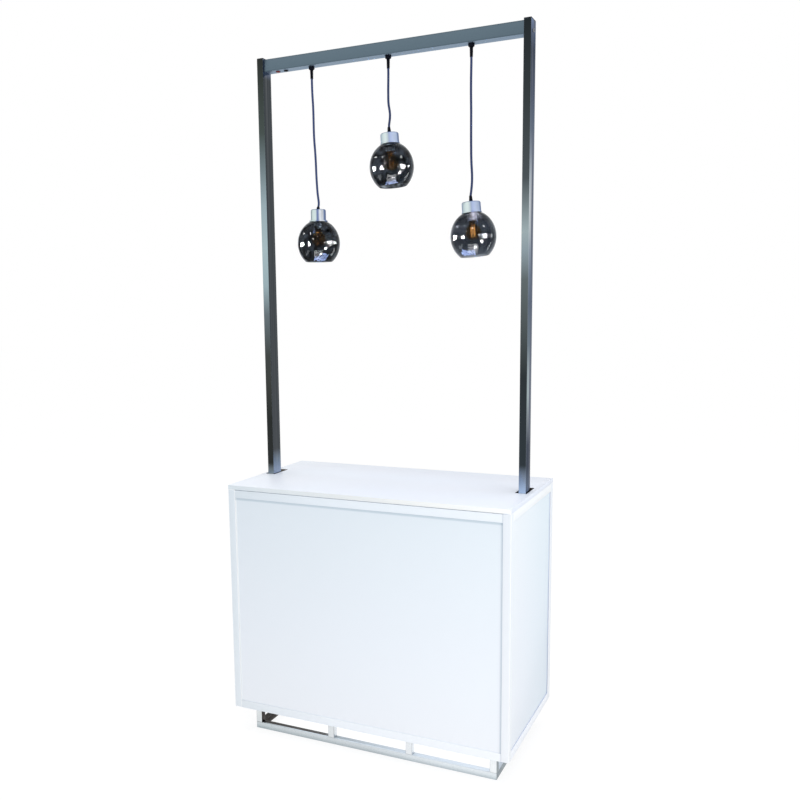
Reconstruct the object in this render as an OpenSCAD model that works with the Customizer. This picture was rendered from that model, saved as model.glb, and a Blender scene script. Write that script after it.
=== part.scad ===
// Illuminated bar counter: a light-box counter on a chrome tube base, with a gantry of three pendant lamps.
// Millimetres. The origin is on the floor under the counter's middle, the guests' side faces -Y, and +Z is up.

/* [Counter] */
// Width of the counter
counter_w = 1200; // [1100:10:1800]
// Depth of the counter, front to back
counter_d = 630; // [560:10:900]
// Height of the counter's top face above the floor
counter_h = 1076; // [900:1:1200]
// Thickness of the top board
top_t = 18; // [12:1:30]
// Shadow gap between the top board and the front rail
top_gap = 2; // [1:0.5:6]
// Width of the frame that shows round each panel
frame_w = 32; // [26:1:44]
// Thickness of the frame's rails, measured into the counter
rail_t = 20; // [14:1:22]
// Depth of each panel's face behind the frame's face
lip_t = 3; // [2:0.5:5]
// Depth of the groove that holds a panel's edge
groove_depth = 10; // [6:1:12]
// Thickness of the opal panels
panel_t = 5; // [3:0.5:7]
// Thickness of the floor board
floor_t = 16; // [12:1:25]
// Thickness of the inner lining boards
liner_t = 15; // [12:1:18]
// Clear depth of the light chamber behind the front panel
chamber_d = 60; // [40:1:90]
// Thickness of the shelf
shelf_t = 18; // [12:1:25]
// Height of the shelf's top face above the floor board
shelf_rise = 430; // [250:5:600]

/* [Base] */
// Height of the base, floor to the counter's underside
base_h = 112; // [90:1:160]
// Width of the base's square tube
base_tube = 27; // [20:1:32]
// Wall of the base's tube
base_wall = 2; // [1.5:0.5:4]
// How far the base stands in from each end of the counter
base_inset_x = 65; // [40:5:120]
// How far the base stands in from the front and the back
base_inset_y = 63; // [40:1:120]
// Number of open bays along the base
base_bays = 3; // [2:1:5]

/* [Gantry] */
// Width of a post across the counter
post_w = 28; // [25:1:34]
// Depth of a post, front to back
post_d = 63; // [50:1:80]
// Wall of the posts
post_wall = 2; // [1.5:0.5:3]
// Height of the posts above the counter's top face
post_rise = 1746; // [1500:1:2000]
// Gap between a post and the end of the counter
post_inset = 24; // [23.5:0.5:40]
// Thickness of a post's end cap
cap_t = 3; // [2:0.5:6]
// Height of the header tube
header_h = 48; // [40:1:60]
// Depth of the header tube
header_d = 48; // [40:1:50]
// Wall of the header tube
header_wall = 2.5; // [2:0.5:4]
// How far the header's top lies below the top of the posts
header_drop = 6; // [4:1:20]
// Width of the slot that a post stands in
slot_w = 46; // [38:1:50]
// Depth of the slot that a post stands in
slot_d = 120; // [90:1:160]

/* [Pendants] */
// Distance between one pendant's cord grip and the next
pendant_pitch = 339; // [300:1:380]
// Outer diameter of a globe
globe_d = 176; // [160:1:200]
// Height of a globe over its width, before its ends are cut
globe_stretch = 1.1; // [1:0.01:1.25]
// Thickness of the glass
glass_t = 3; // [2:0.5:4]
// Diameter of a globe's open mouth
mouth_d = 112; // [90:1:130]
// Diameter of the cover cups on the centre and right lamps
cup_d = 72; // [64:1:80]
// Diameter of the cover cup on the left lamp
left_cup_d = 62; // [56:1:64]
// Diameter of the lip at the foot of each cup, which rests on the globe
cup_lip_d = 76; // [72:1:84]
// Height of the cover cups on the centre and right lamps
cup_h = 42; // [40:1:60]
// Height of the cover cup on the left lamp
left_cup_h = 50; // [40:1:60]
// Diameter of a pendant cord
cord_d = 9; // [6:0.5:10]
// Lean of the left lamp away from plumb, its mouth towards +X, in degrees
left_lean = 0; // [-8:0.5:8]
// Lean of the centre lamp
centre_lean = 4; // [-8:0.5:8]
// Lean of the right lamp
right_lean = 4.5; // [-8:0.5:8]

/* [Electrics] */
// Width of the control box
box_w = 170; // [150:5:220]
// Depth of the control box
box_d = 80; // [70:5:120]
// Height of the control box
box_h = 66; // [60:1:90]
// Length of the lamp driver
driver_w = 200; // [150:5:240]
// Number of light bars behind the front panel
front_bars = 7; // [4:1:9]

/* [Hidden] */

// Round surfaces are cut this fine
$fn = 64;
// Slack of a piece that is pushed into a seat
fit = 0.2;
// Depth by which a cutting shape passes the face that it cuts
over = 1;

// Planes of the counter, measured from the origin
half_w = counter_w / 2;
half_d = counter_d / 2;
board_z = counter_h - top_t;
carcass_h = board_z - base_h;
floor_z = base_h + floor_t;
stile_x = half_w - frame_w;
stile_y = half_d - frame_w;
groove_w = panel_t + 2 * fit;
groove_gap = 1;
panel_grip = groove_depth - groove_gap;
front_rail_z = board_z - top_gap - frame_w;

// Places of the posts, the slots round them and the lining boards
post_x = half_w - post_inset - post_w / 2;
post_top = counter_h + post_rise;
slot_edge = 1;
slot_side = 4;
slot_rear = slot_d - post_d / 2 - slot_edge;
liner_gap = 6;
liner_out = post_x + post_w / 2 + slot_side - slot_w - liner_gap;
liner_in = liner_out - liner_t;
reflector_y = -half_d + lip_t + groove_w + chamber_d;
shelf_gap = 1;
shelf_z = floor_z + shelf_rise - shelf_t;
shelf_front = reflector_y + liner_t + shelf_gap;
shelf_back = stile_y - shelf_gap;

// Pins that carry the shelf
pin_d = 8;
pin_seat = 10;
pin_out = 12;
pin_end = 60;

// Base
base_x = half_w - base_inset_x;
base_y = half_d - base_inset_y;
base_step = (2 * base_x - base_tube) / base_bays;

// Header and what hangs from it
header_top = post_top - header_drop;
header_z = header_top - header_h / 2;
header_under = header_top - header_h;
header_half = post_x - post_w / 2;
block_l = 24;
bolt_d = 8;
bolt_head_d = 13;
bolt_head_h = 3;
bolt_slack = 0.5;
bolt_drop = 10;
bolt_z = header_z - bolt_drop;
cap_plug = 15;
pendant_shift = 2;
pendant_x = [for (i = [-1 : 1]) pendant_shift + i * pendant_pitch];
gland_d = 26;
gland_h = 12;
gland_thread_d = 18;
gland_thread_l = 10;
gland_bore_d = 8;
locknut_d = 25;
locknut_t = 5;
ball_r = 7.5;
ball_seat = 0.3;
tail_l = 36;
tail_top_r = 6.8;
tail_end_r = 6;
cord_seat = 0.7;

// Terminals under the header
terminal_d = 18;
terminal_t = 4;
terminal_stem_d = 8;
terminal_inset = 54;
terminal_pitch = 38;
terminal_x = [for (i = [0, 1]) terminal_inset + i * terminal_pitch - header_half];

// Cables inside the counter, the post and the header
cable_r = 3;
cable_hole_r = 5;
cable_y = header_d / 4;
cable_z = header_z + 8;
entry_z = floor_z + 110;
feed_z = floor_z + 26;

// A steel shoe holds each post's foot, and a strap holds it to the side rail under the top board
shoe_t = 3;
shoe_h = 60;
shoe_plate_t = 4;
shoe_reach = 22;
strap_t = 3;
strap_h = 24;
strap_drop = 6;
strap_flange = 22;
screw_d = 5;
screw_head_d = 10;
screw_head_h = 3;
screw_l = 12;
pilot_slack = 0.1;
shoe_screw_y = post_d / 2 + fit + (shoe_reach + shoe_t) / 2;
strap_screw_y = post_d / 2 + fit + strap_t + strap_flange / 2;
strap_screw_z = board_z - strap_drop - strap_h / 2;

// Lamp: z = 0 is the top of the cup, and everything below it is negative
cup_wall = 1.5;
cup_lip_h = 5;
globe_r = globe_d / 2;
globe_b = globe_r * globe_stretch;
neck_r = 21;
holder_r = 19.5;
holder_drop = 30;
holder_flange_r = 25;
holder_flange_t = 3;
ring_r = 27;
ring_h = 8;
socket_r = 13.6;
socket_depth = 28;
screw_cap_r = 13.2;
screw_cap_l = 26;
bulb_r = 30;
bulb_neck_r = 13;
bulb_neck_l = 12;
bulb_wall = 1.2;
bulb_stem_r = 3.5;
filament_r = 1.3;
filament_l = 36;
filament_ring = 8;
grip_top_r = 5.9;
grip_foot_r = 8;
grip_h = [11, 23, 23];
cord_sunk = 3;
lamp_lean = [left_lean, centre_lean, right_lean];
cups_d = [left_cup_d, cup_d, cup_d];
cups_h = [left_cup_h, cup_h, cup_h];

// Light bars on the lining boards
bar_w = 16;
bar_t = 8;
bar_foot = 32;
bar_end = 40;
side_bar_pitch = 170;
side_bar_shift = (reflector_y + stile_y) / 2;

// Control box and what is let into its face
box_room = 48;
box_x = box_room + box_w / 2 - liner_in;
box_wall = 3;
box_back = stile_y - 8;
inlet_w = 30;
inlet_h = 24;
inlet_l = 24;
inlet_flange = 4;
inlet_wall = 2;
inlet_pin_l = 13;
inlet_x = box_x - 30;
rocker_x = box_x + 45;
rocker_w = 20;
rocker_h = 26;
rocker_gap = 0.5;
rocker_pivot = 5;
rocker_pin_d = 3;
rocker_pin_slack = 0.05;
rocker_turn = 16;
rocker_dip = 2;
cheek_t = 3;
cheek_h = 5;
face_z = floor_z + box_h / 2;
driver_gap = 65;
driver_x = box_x + (box_w + driver_w) / 2 + driver_gap;
driver_set_back = 35;
driver_d = 60;
driver_h = 38;
driver_y = box_back - driver_set_back - driver_d / 2;
feed_x = driver_x + 10;

// Routes of the three pendant cords: across and down from the tip of the strain relief
left_route = [
    [0, 0], [0.2, -20], [0.5, -38], [1, -56], [1.8, -74], [2.8, -92], [3.5, -110], [4, -128],
    [4.2, -146], [4.3, -164], [4.4, -182], [4.5, -200], [4.8, -218], [5.5, -236], [6.5, -254],
    [7.8, -272], [9, -290], [10, -308], [10.8, -326], [11.4, -344], [11.8, -362], [12.3, -380],
    [13, -398], [14, -416], [15, -434], [16.2, -451], [17.8, -466], [19.8, -480], [21, -492],
    [20.3, -503], [18, -512]
];
centre_route = [
    [0, 0], [0.2, -16], [0, -32], [-0.3, -48], [-0.7, -64], [-1, -80], [-1, -96], [-1, -112],
    [-0.6, -126], [0.8, -140], [3, -153], [5, -166], [5.6, -178], [4.8, -191], [3, -203],
    [1.4, -214], [0.8, -225]
];
right_route = [
    [0, 0], [0, -18], [-0.2, -36], [-0.5, -54], [-0.8, -72], [-1, -90], [-1, -108], [-1, -126],
    [-0.8, -144], [-0.5, -162], [-0.2, -180], [0, -198], [0, -216], [0, -234], [0, -252],
    [0, -270], [0, -288], [0.1, -306], [0.3, -324], [0.5, -342], [0.8, -360], [1.4, -378],
    [2.2, -394], [3.2, -410], [4.1, -426], [4.4, -442], [4, -458], [2.9, -474], [1.2, -490],
    [-0.6, -503], [-1.2, -510]
];
routes = [left_route, centre_route, right_route];

// Height on the globe's outside at radius r from its axis, above the globe's centre
function globe_z(r) = globe_b * sqrt(1 - pow(r / globe_r, 2));
// The same on its inside
function globe_in_z(r) = (globe_b - glass_t) * sqrt(1 - pow(r / (globe_r - glass_t), 2));
// Centre of lamp i's globe, below the top of its cup
function globe_centre(i) = -cups_h[i] - globe_z(cup_lip_d / 2 - cup_wall) - fit;
// The unit vector that points up along lamp i's axis
function lamp_up(i) = [-sin(lamp_lean[i]), 0, cos(lamp_lean[i])];
// Pivot of pendant i in its gland, and the tip of its strain relief
function gland_pivot(i) = [pendant_x[i], 0, header_under - gland_h];
function tail_tip(i) = gland_pivot(i) - [0, 0, tail_l];
function cord_points(i) = [for (p = routes[i]) tail_tip(i) + [p[0], 0, p[1]]];
// Top of lamp i's cup: the cord ends inside the grip on it
function lamp_top(i) = cord_points(i)[len(routes[i]) - 1] - (grip_h[i] - cord_sunk) * lamp_up(i);

function unit(v) = v / norm(v);
// Direction of a route at its point i
function heading(route, i) =
    i == 0 ? unit(route[1] - route[0])
    : i == len(route) - 1 ? unit(route[i] - route[i - 1])
    : unit(unit(route[i + 1] - route[i]) + unit(route[i] - route[i - 1]));
// A side vector at each point, carried along the route without twist
function side_vectors(route, i = 0, side = [0.6, 0.8, 0]) =
    i == len(route) ? []
    : let (h = heading(route, i), s = unit(side - (side * h) * h))
        concat([s], side_vectors(route, i + 1, s));
// Each inner corner of a route is cut back by r at both sides
function eased(route, r) = [
    for (i = [0 : len(route) - 1])
        each i == 0 || i == len(route) - 1 ? [route[i]]
        : [route[i] + r * unit(route[i - 1] - route[i]), route[i] + r * unit(route[i + 1] - route[i])]
];

// A round tube along a route, as one closed skin of triangles; radii gives its radius at each point
module swept_tube(route, radii, sides) {
    last = len(route) - 1;
    side = side_vectors(route);
    rings = [
        for (i = [0 : last], k = [0 : sides - 1])
            let (a = 360 * k / sides)
            route[i] + radii[i] * (cos(a) * side[i] + sin(a) * cross(heading(route, i), side[i]))
    ];
    skin = [
        for (i = [0 : last - 1], k = [0 : sides - 1])
            let (a = i * sides + k, b = i * sides + (k + 1) % sides)
            each [[a, b, a + sides], [b, b + sides, a + sides]]
    ];
    start = [for (k = [1 : sides - 2]) [0, k + 1, k]];
    end = [for (k = [1 : sides - 2]) [last * sides, last * sides + k, last * sides + k + 1]];
    polyhedron(rings, concat(skin, start, end));
}

// A box from its low corner to its high corner
module slab(low, high) {
    translate(low) cube(high - low);
}

// A square tube along +Z with both ends open
module box_tube(w, d, wall, length) {
    difference() {
        translate([-w / 2, -d / 2, 0]) cube([w, d, length]);
        translate([wall - w / 2, wall - d / 2, -over])
            cube([w - 2 * wall, d - 2 * wall, length + 2 * over]);
    }
}

// A piece for the right end of the counter, and its mirror for the left end
module both_ends() {
    children();
    mirror([1, 0, 0]) children();
}

// A rail of the base along +X between x = -half and x = half, mitred at both ends towards -Y
module mitred_rail(half) {
    difference() {
        translate([-half, 0, base_tube / 2]) rotate([90, 0, 90])
            box_tube(base_tube, base_tube, base_wall, 2 * half);
        both_ends() translate([half, base_tube / 2, -over]) rotate([0, 0, -45])
            translate([0, -2 * base_tube, 0]) cube([2 * base_tube, 4 * base_tube, base_tube + 2 * over]);
    }
}

module base_long_rails() {
    color("gainsboro") for (z = [0, base_h - base_tube], turn = [0, 180])
        rotate([0, 0, turn]) translate([0, base_y - base_tube / 2, z]) mitred_rail(base_x);
}

module base_cross_rails() {
    color("gainsboro") for (z = [0, base_h - base_tube], turn = [90, 270])
        rotate([0, 0, turn]) translate([0, base_x - base_tube / 2, z]) mitred_rail(base_y);
}

module base_uprights() {
    color("gainsboro") for (i = [0 : base_bays], side = [-1, 1])
        translate([-base_x + base_tube / 2 + i * base_step, side * (base_y - base_tube / 2), base_tube])
            box_tube(base_tube, base_tube, base_wall, base_h - 2 * base_tube);
}

// A corner post of the frame at +X, -Y, with a groove for the front panel and one for the side panel
module grooved_corner(front_groove) {
    difference() {
        slab([stile_x, -half_d, base_h], [half_w, -stile_y, board_z]);
        if (front_groove)
            slab([stile_x - over, -half_d + lip_t, base_h - over],
                 [stile_x + groove_depth, -half_d + lip_t + groove_w, board_z + over]);
        slab([half_w - lip_t - groove_w, -stile_y - groove_depth, base_h - over],
             [half_w - lip_t, -stile_y + over, board_z + over]);
    }
}

module corner_posts() {
    color("white") {
        both_ends() grooved_corner(true);
        mirror([0, 1, 0]) both_ends() grooved_corner(false);
    }
}

// Front rails carry the front panel in a groove; the rear rails frame the open service side
module long_rails() {
    color("white") {
        difference() {
            slab([-stile_x, -half_d, front_rail_z], [stile_x, -half_d + rail_t, front_rail_z + frame_w]);
            slab([-stile_x - over, -half_d + lip_t, front_rail_z - over],
                 [stile_x + over, -half_d + lip_t + groove_w, front_rail_z + groove_depth]);
        }
        difference() {
            slab([-stile_x, -half_d, base_h], [stile_x, -half_d + rail_t, base_h + frame_w]);
            slab([-stile_x - over, -half_d + lip_t, base_h + frame_w - groove_depth],
                 [stile_x + over, -half_d + lip_t + groove_w, base_h + frame_w + over]);
        }
        for (z = [base_h, board_z - frame_w])
            slab([-stile_x, half_d - rail_t, z], [stile_x, half_d, z + frame_w]);
    }
}

module side_rails() {
    color("white") both_ends() {
        difference() {
            slab([half_w - rail_t, -stile_y, board_z - frame_w], [half_w, stile_y, board_z]);
            slab([half_w - lip_t - groove_w, -stile_y - over, board_z - frame_w - over],
                 [half_w - lip_t, stile_y + over, board_z - frame_w + groove_depth]);
            for (side = [-1, 1]) translate([half_w - rail_t - over, side * strap_screw_y, strap_screw_z])
                rotate([0, 90, 0]) cylinder(d = screw_d + 2 * pilot_slack, h = screw_l + over);
        }
        difference() {
            slab([half_w - rail_t, -stile_y, base_h], [half_w, stile_y, base_h + frame_w]);
            slab([half_w - lip_t - groove_w, -stile_y - over, base_h + frame_w - groove_depth],
                 [half_w - lip_t, stile_y + over, base_h + frame_w + over]);
        }
    }
}

module front_panel() {
    color("aliceblue")
        slab([-stile_x - panel_grip, -half_d + lip_t + fit, base_h + frame_w - panel_grip],
             [stile_x + panel_grip, -half_d + lip_t + fit + panel_t, front_rail_z + panel_grip]);
}

module right_panel() {
    color("aliceblue")
        slab([half_w - lip_t - fit - panel_t, -stile_y - panel_grip, base_h + frame_w - panel_grip],
             [half_w - lip_t - fit, stile_y + panel_grip, board_z - frame_w + panel_grip]);
}

module left_panel() {
    mirror([1, 0, 0]) right_panel();
}

// Each slot is longer and wider than its post, which stands in the slot's front corner towards +X
module slot(side) {
    x_end = side * post_x + post_w / 2 + slot_side;
    slab([x_end - slot_w, -post_d / 2 - slot_edge, board_z - over], [x_end, slot_rear, counter_h + over]);
}

module top_board() {
    color("white") difference() {
        slab([-half_w, -half_d, board_z], [half_w, half_d, counter_h]);
        for (side = [-1, 1]) slot(side);
    }
}

// The floor board lies on the base between the frame's rails and is notched for its corner posts
module floor_board() {
    color("whitesmoke") difference() {
        slab([fit + rail_t - half_w, fit + rail_t - half_d, base_h],
             [half_w - rail_t - fit, half_d - rail_t - fit, floor_z]);
        for (x = [-1, 1], y = [-1, 1])
            translate([x * half_w, y * half_d, base_h + floor_t / 2])
                cube([2 * (frame_w + fit), 2 * (frame_w + fit), floor_t + 2 * over], center = true);
        for (x = [-1, 1], y = [-1, 1])
            translate([x * post_x, y * shoe_screw_y, floor_z - screw_l])
                cylinder(d = screw_d + 2 * pilot_slack, h = screw_l + over);
    }
}

module front_reflector() {
    color("white") difference() {
        slab([-liner_out, reflector_y, floor_z], [liner_out, reflector_y + liner_t, board_z]);
        translate([feed_x, reflector_y - over, feed_z]) rotate([-90, 0, 0])
            cylinder(r = cable_hole_r, h = liner_t + 2 * over);
    }
}

// Each side lining board has a return that closes its light chamber at the back
module liner(cable_hole) {
    difference() {
        union() {
            slab([liner_in, reflector_y + liner_t, floor_z], [liner_out, stile_y, board_z]);
            slab([liner_in, stile_y - liner_t, floor_z], [half_w - rail_t - fit, stile_y, board_z]);
        }
        slab([half_w - rail_t - fit - over, stile_y - liner_t - over, board_z - frame_w - fit],
             [half_w, stile_y + over, board_z + over]);
        slab([half_w - rail_t - fit - over, stile_y - liner_t - over, floor_z - over],
             [half_w, stile_y + over, base_h + frame_w + fit]);
        for (y = [shelf_front + pin_end, shelf_back - pin_end])
            translate([liner_in - over, y, shelf_z - pin_d / 2]) rotate([0, 90, 0])
                cylinder(d = pin_d + 2 * fit, h = pin_seat + fit + over);
        if (cable_hole)
            translate([liner_in - over, box_back - box_d / 2, feed_z]) rotate([0, 90, 0])
                cylinder(r = cable_hole_r, h = liner_t + 2 * over);
    }
}

module side_liners() {
    color("white") {
        liner(false);
        mirror([1, 0, 0]) liner(true);
    }
}

module shelf() {
    color("white")
        slab([shelf_gap - liner_in, shelf_front, shelf_z],
             [liner_in - shelf_gap, shelf_back, shelf_z + shelf_t]);
}

module shelf_pins() {
    color("silver") both_ends() for (y = [shelf_front + pin_end, shelf_back - pin_end])
        translate([liner_in - pin_out, y, shelf_z - pin_d / 2]) rotate([0, 90, 0])
            cylinder(d = pin_d, h = pin_out + pin_seat);
}

// A post is a plain tube with a hole through both side walls for its header bolt
module post() {
    difference() {
        translate([0, 0, floor_z + shoe_plate_t])
            box_tube(post_w, post_d, post_wall, post_top - cap_t - floor_z - shoe_plate_t);
        translate([-post_w, 0, bolt_z]) rotate([0, 90, 0])
            cylinder(d = bolt_d + 2 * bolt_slack, h = 2 * post_w);
    }
}

module right_post() {
    color("slategray") translate([post_x, 0, 0]) post();
}

// The left post also lets the lamps' cable in above its shoe and out into the header
module left_post() {
    color("slategray") difference() {
        translate([-post_x, 0, 0]) post();
        for (z = [entry_z, cable_z])
            translate([-post_x, cable_y, z]) rotate([0, 90, 0]) cylinder(r = cable_hole_r, h = post_w);
    }
}

module post_caps() {
    color("black") both_ends() translate([post_x, 0, post_top - cap_t]) {
        translate([-post_w / 2, -post_d / 2, 0]) cube([post_w, post_d, cap_t]);
        translate([post_wall + fit - post_w / 2, post_wall + fit - post_d / 2, -cap_plug])
            cube([post_w - 2 * (post_wall + fit), post_d - 2 * (post_wall + fit), cap_plug]);
    }
}

module header() {
    color("slategray") difference() {
        translate([-header_half, 0, header_z]) rotate([90, 0, 90])
            box_tube(header_d, header_h, header_wall, 2 * header_half);
        for (x = pendant_x) translate([x, 0, header_under - over])
            cylinder(d = gland_thread_d + 2 * fit, h = header_wall + 2 * over);
        for (x = terminal_x) translate([x, 0, header_under - over])
            cylinder(d = terminal_stem_d + 2 * fit, h = header_wall + 2 * over);
    }
}

// A tapped block fills each end of the header and takes the bolt from the post
module header_end_blocks() {
    block_d = header_d - 2 * (header_wall + fit);
    block_h = header_h - 2 * (header_wall + fit);
    color("dimgray") for (side = [-1, 1]) difference() {
        translate([side * (header_half - block_l / 2), 0, header_z])
            cube([block_l, block_d, block_h], center = true);
        translate([side * (header_half - block_l - over), 0, bolt_z]) rotate([0, side * 90, 0])
            cylinder(d = bolt_d + 2 * pilot_slack, h = block_l + 2 * over);
        if (side < 0)
            translate([-header_half - over, cable_y, cable_z]) rotate([0, 90, 0])
                cylinder(r = cable_hole_r, h = block_l + 2 * over);
    }
}

// A shoe is a plate on the floor board with a collar round the post's foot
module post_shoes() {
    inner_w = post_w + 2 * fit;
    inner_d = post_d + 2 * fit;
    color("gray") both_ends() translate([post_x, 0, floor_z]) {
        difference() {
            translate([-inner_w / 2 - shoe_t, -inner_d / 2 - shoe_reach, 0])
                cube([inner_w + 2 * shoe_t, inner_d + 2 * shoe_reach, shoe_plate_t]);
            for (y = [-1, 1])
                translate([0, y * shoe_screw_y, -over])
                    cylinder(d = screw_d + 2 * fit, h = shoe_plate_t + 2 * over);
        }
        translate([0, 0, shoe_plate_t])
            box_tube(inner_w + 2 * shoe_t, inner_d + 2 * shoe_t, shoe_t, shoe_h - shoe_plate_t);
    }
}

// A strap goes round the inner side of each post and is screwed to the side rail through two flanges
module post_straps() {
    z_low = board_z - strap_drop - strap_h;
    z_high = board_z - strap_drop;
    rail_x = half_w - rail_t;
    in_x = post_x - post_w / 2 - fit;
    arm_y = post_d / 2 + fit;
    color("gray") both_ends() difference() {
        union() {
            slab([in_x - strap_t, -arm_y - strap_t, z_low], [in_x, arm_y + strap_t, z_high]);
            for (side = [0, 1]) mirror([0, side, 0]) {
                slab([in_x - strap_t, arm_y, z_low], [rail_x, arm_y + strap_t, z_high]);
                slab([rail_x - strap_t, arm_y, z_low], [rail_x, arm_y + strap_t + strap_flange, z_high]);
            }
        }
        for (side = [-1, 1])
            translate([rail_x - strap_t - over, side * strap_screw_y, strap_screw_z])
                rotate([0, 90, 0]) cylinder(d = screw_d + 2 * fit, h = strap_t + 2 * over);
    }
}

// A pan-head screw that stands on z = 0, its shank down to -length
module screw(d, head_d, head_h, length) {
    cylinder(d = head_d, h = head_h);
    translate([0, 0, -length]) cylinder(d = d, h = length + head_h / 2);
}

// The header's bolts, the screws of the shoes in the floor board and of the straps in the side rails
module fasteners() {
    color("silver") both_ends() {
        translate([post_x + post_w / 2, 0, bolt_z]) rotate([0, 90, 0])
            screw(bolt_d, bolt_head_d, bolt_head_h, post_w + block_l - over);
        for (side = [-1, 1]) {
            translate([post_x, side * shoe_screw_y, floor_z + shoe_plate_t])
                screw(screw_d, screw_head_d, screw_head_h, shoe_plate_t + screw_l - over);
            translate([half_w - rail_t - strap_t, side * strap_screw_y, strap_screw_z]) rotate([0, -90, 0])
                screw(screw_d, screw_head_d, screw_head_h, strap_t + screw_l - over);
        }
    }
}

// An insulated terminal: a flanged cap under the header, its stem through the wall and a nut's width inside
module terminal(x) {
    translate([x, 0, header_under - terminal_t]) {
        cylinder(d = terminal_d, h = terminal_t);
        cylinder(d = terminal_stem_d, h = terminal_t + header_wall + terminal_t);
    }
}

module red_terminal() {
    color("darkred") terminal(terminal_x[0]);
}

module black_terminal() {
    color("black") terminal(terminal_x[1]);
}

// A gland's nut has a round seat for the strain relief in its lower face and a thread up into the header
module gland(i) {
    translate(gland_pivot(i)) difference() {
        union() {
            cylinder(d = gland_d, h = gland_h);
            cylinder(d = gland_thread_d, h = gland_h + header_wall + gland_thread_l);
        }
        sphere(r = ball_r + ball_seat);
        translate([0, 0, -over])
            cylinder(d = gland_bore_d, h = gland_h + header_wall + gland_thread_l + 2 * over);
    }
}

module glands() {
    color("black") for (i = [0 : 2]) gland(i);
}

module gland_locknuts() {
    color("black") for (x = pendant_x) translate([x, 0, header_under + header_wall]) difference() {
        cylinder(d = locknut_d, h = locknut_t);
        translate([0, 0, -over]) cylinder(d = gland_thread_d + 2 * fit, h = locknut_t + 2 * over);
    }
}

// Upright light bars stand on the lining boards and face the opal panels
module light_bar() {
    translate([-bar_w / 2, 0, floor_z + bar_foot])
        cube([bar_w, bar_t, board_z - floor_z - bar_foot - bar_end]);
}

module light_bars() {
    step = 2 * (liner_out - bar_end) / front_bars;
    color("lightyellow") {
        for (i = [0 : front_bars - 1])
            translate([(i - (front_bars - 1) / 2) * step, reflector_y - bar_t, 0]) light_bar();
        both_ends() for (i = [-1 : 1])
            translate([liner_out + bar_t, side_bar_shift + i * side_bar_pitch, 0])
                rotate([0, 0, 90]) light_bar();
    }
}

module driver() {
    color("silver") translate([driver_x - driver_w / 2, driver_y - driver_d / 2, floor_z]) {
        cube([driver_w, driver_d, driver_h]);
        translate([-driver_d / 4, 0, 0]) cube([driver_w + driver_d / 2, driver_d, panel_t]);
    }
}

// The control box stands behind the rear frame, the mains inlet and the switch let into its face.
// Two cheeks behind the face carry the switch's pivot pins.
module control_box() {
    cheek_x = rocker_w / 2 + rocker_gap;
    color("dimgray") difference() {
        union() {
            difference() {
                slab([box_x - box_w / 2, box_back - box_d, floor_z],
                     [box_x + box_w / 2, box_back, floor_z + box_h]);
                slab([box_x - box_w / 2 + box_wall, box_back - box_d + box_wall, floor_z - over],
                     [box_x + box_w / 2 - box_wall, box_back - box_wall, floor_z + box_h - box_wall]);
            }
            translate([rocker_x, box_back, face_z]) both_ends()
                slab([cheek_x, -rocker_pivot - cheek_h, -cheek_h], [cheek_x + cheek_t, -over, cheek_h]);
        }
        translate([inlet_x, box_back, face_z])
            cube([inlet_w + 2 * fit, 4 * box_wall, inlet_h + 2 * fit], center = true);
        translate([rocker_x, box_back, face_z])
            cube([rocker_w + 2 * rocker_gap, 4 * box_wall, rocker_h + 2 * rocker_gap], center = true);
        translate([rocker_x, box_back - rocker_pivot, face_z]) rotate([0, 90, 0])
            cylinder(d = rocker_pin_d + 2 * rocker_pin_slack, h = 4 * cheek_x, center = true);
        for (side = [-1, 1])
            translate([box_x + side * box_w / 2, box_back - box_d / 2, feed_z]) rotate([0, 90, 0])
                cylinder(r = cable_hole_r, h = 4 * box_wall, center = true);
    }
}

// A three-pin appliance inlet: a shroud with a rim on the box's face, and three blades at its foot
module mains_inlet() {
    foot = inlet_wall - inlet_l;
    color("black") translate([inlet_x, box_back, face_z]) {
        difference() {
            union() {
                translate([-inlet_w / 2, foot, -inlet_h / 2]) cube([inlet_w, inlet_l, inlet_h]);
                translate([-inlet_w / 2 - inlet_flange, 0, -inlet_h / 2 - inlet_flange])
                    cube([inlet_w + 2 * inlet_flange, inlet_wall, inlet_h + 2 * inlet_flange]);
            }
            translate([inlet_wall - inlet_w / 2, foot + inlet_wall, inlet_wall - inlet_h / 2])
                cube([inlet_w - 2 * inlet_wall, inlet_l, inlet_h - 2 * inlet_wall]);
        }
        for (x = [-1, 0, 1])
            translate([x * inlet_w / 4 - inlet_wall / 2, foot, inlet_wall * (1 - abs(x) * 2)])
                cube([inlet_wall, inlet_wall + inlet_pin_l, 2 * inlet_wall]);
    }
}

// The switch's rocker turns on two pins in the box's cheeks, and is drawn pressed in at its lower, off end
module rocker_switch() {
    end_z = rocker_h / 2 - 1.5;
    face_y = rocker_pivot + 0.5;
    color("black") translate([rocker_x, box_back - rocker_pivot, face_z]) rotate([-rocker_turn / 2, 0, 0]) {
        rotate([90, 0, 90]) linear_extrude(rocker_w, center = true)
            polygon([[face_y, 0], [face_y + rocker_dip, end_z], [0, end_z], [1 - cheek_h, cheek_h],
                     [1 - cheek_h, -cheek_h], [0, -end_z], [face_y + rocker_dip, -end_z]]);
        rotate([0, 90, 0])
            cylinder(d = rocker_pin_d, h = rocker_w + 2 * (rocker_gap + cheek_t), center = true);
    }
}

// A cable of the loom
module cable(route, ease) {
    points = eased(route, ease);
    swept_tube(points, [for (p = points) cable_r], 8);
}

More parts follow.
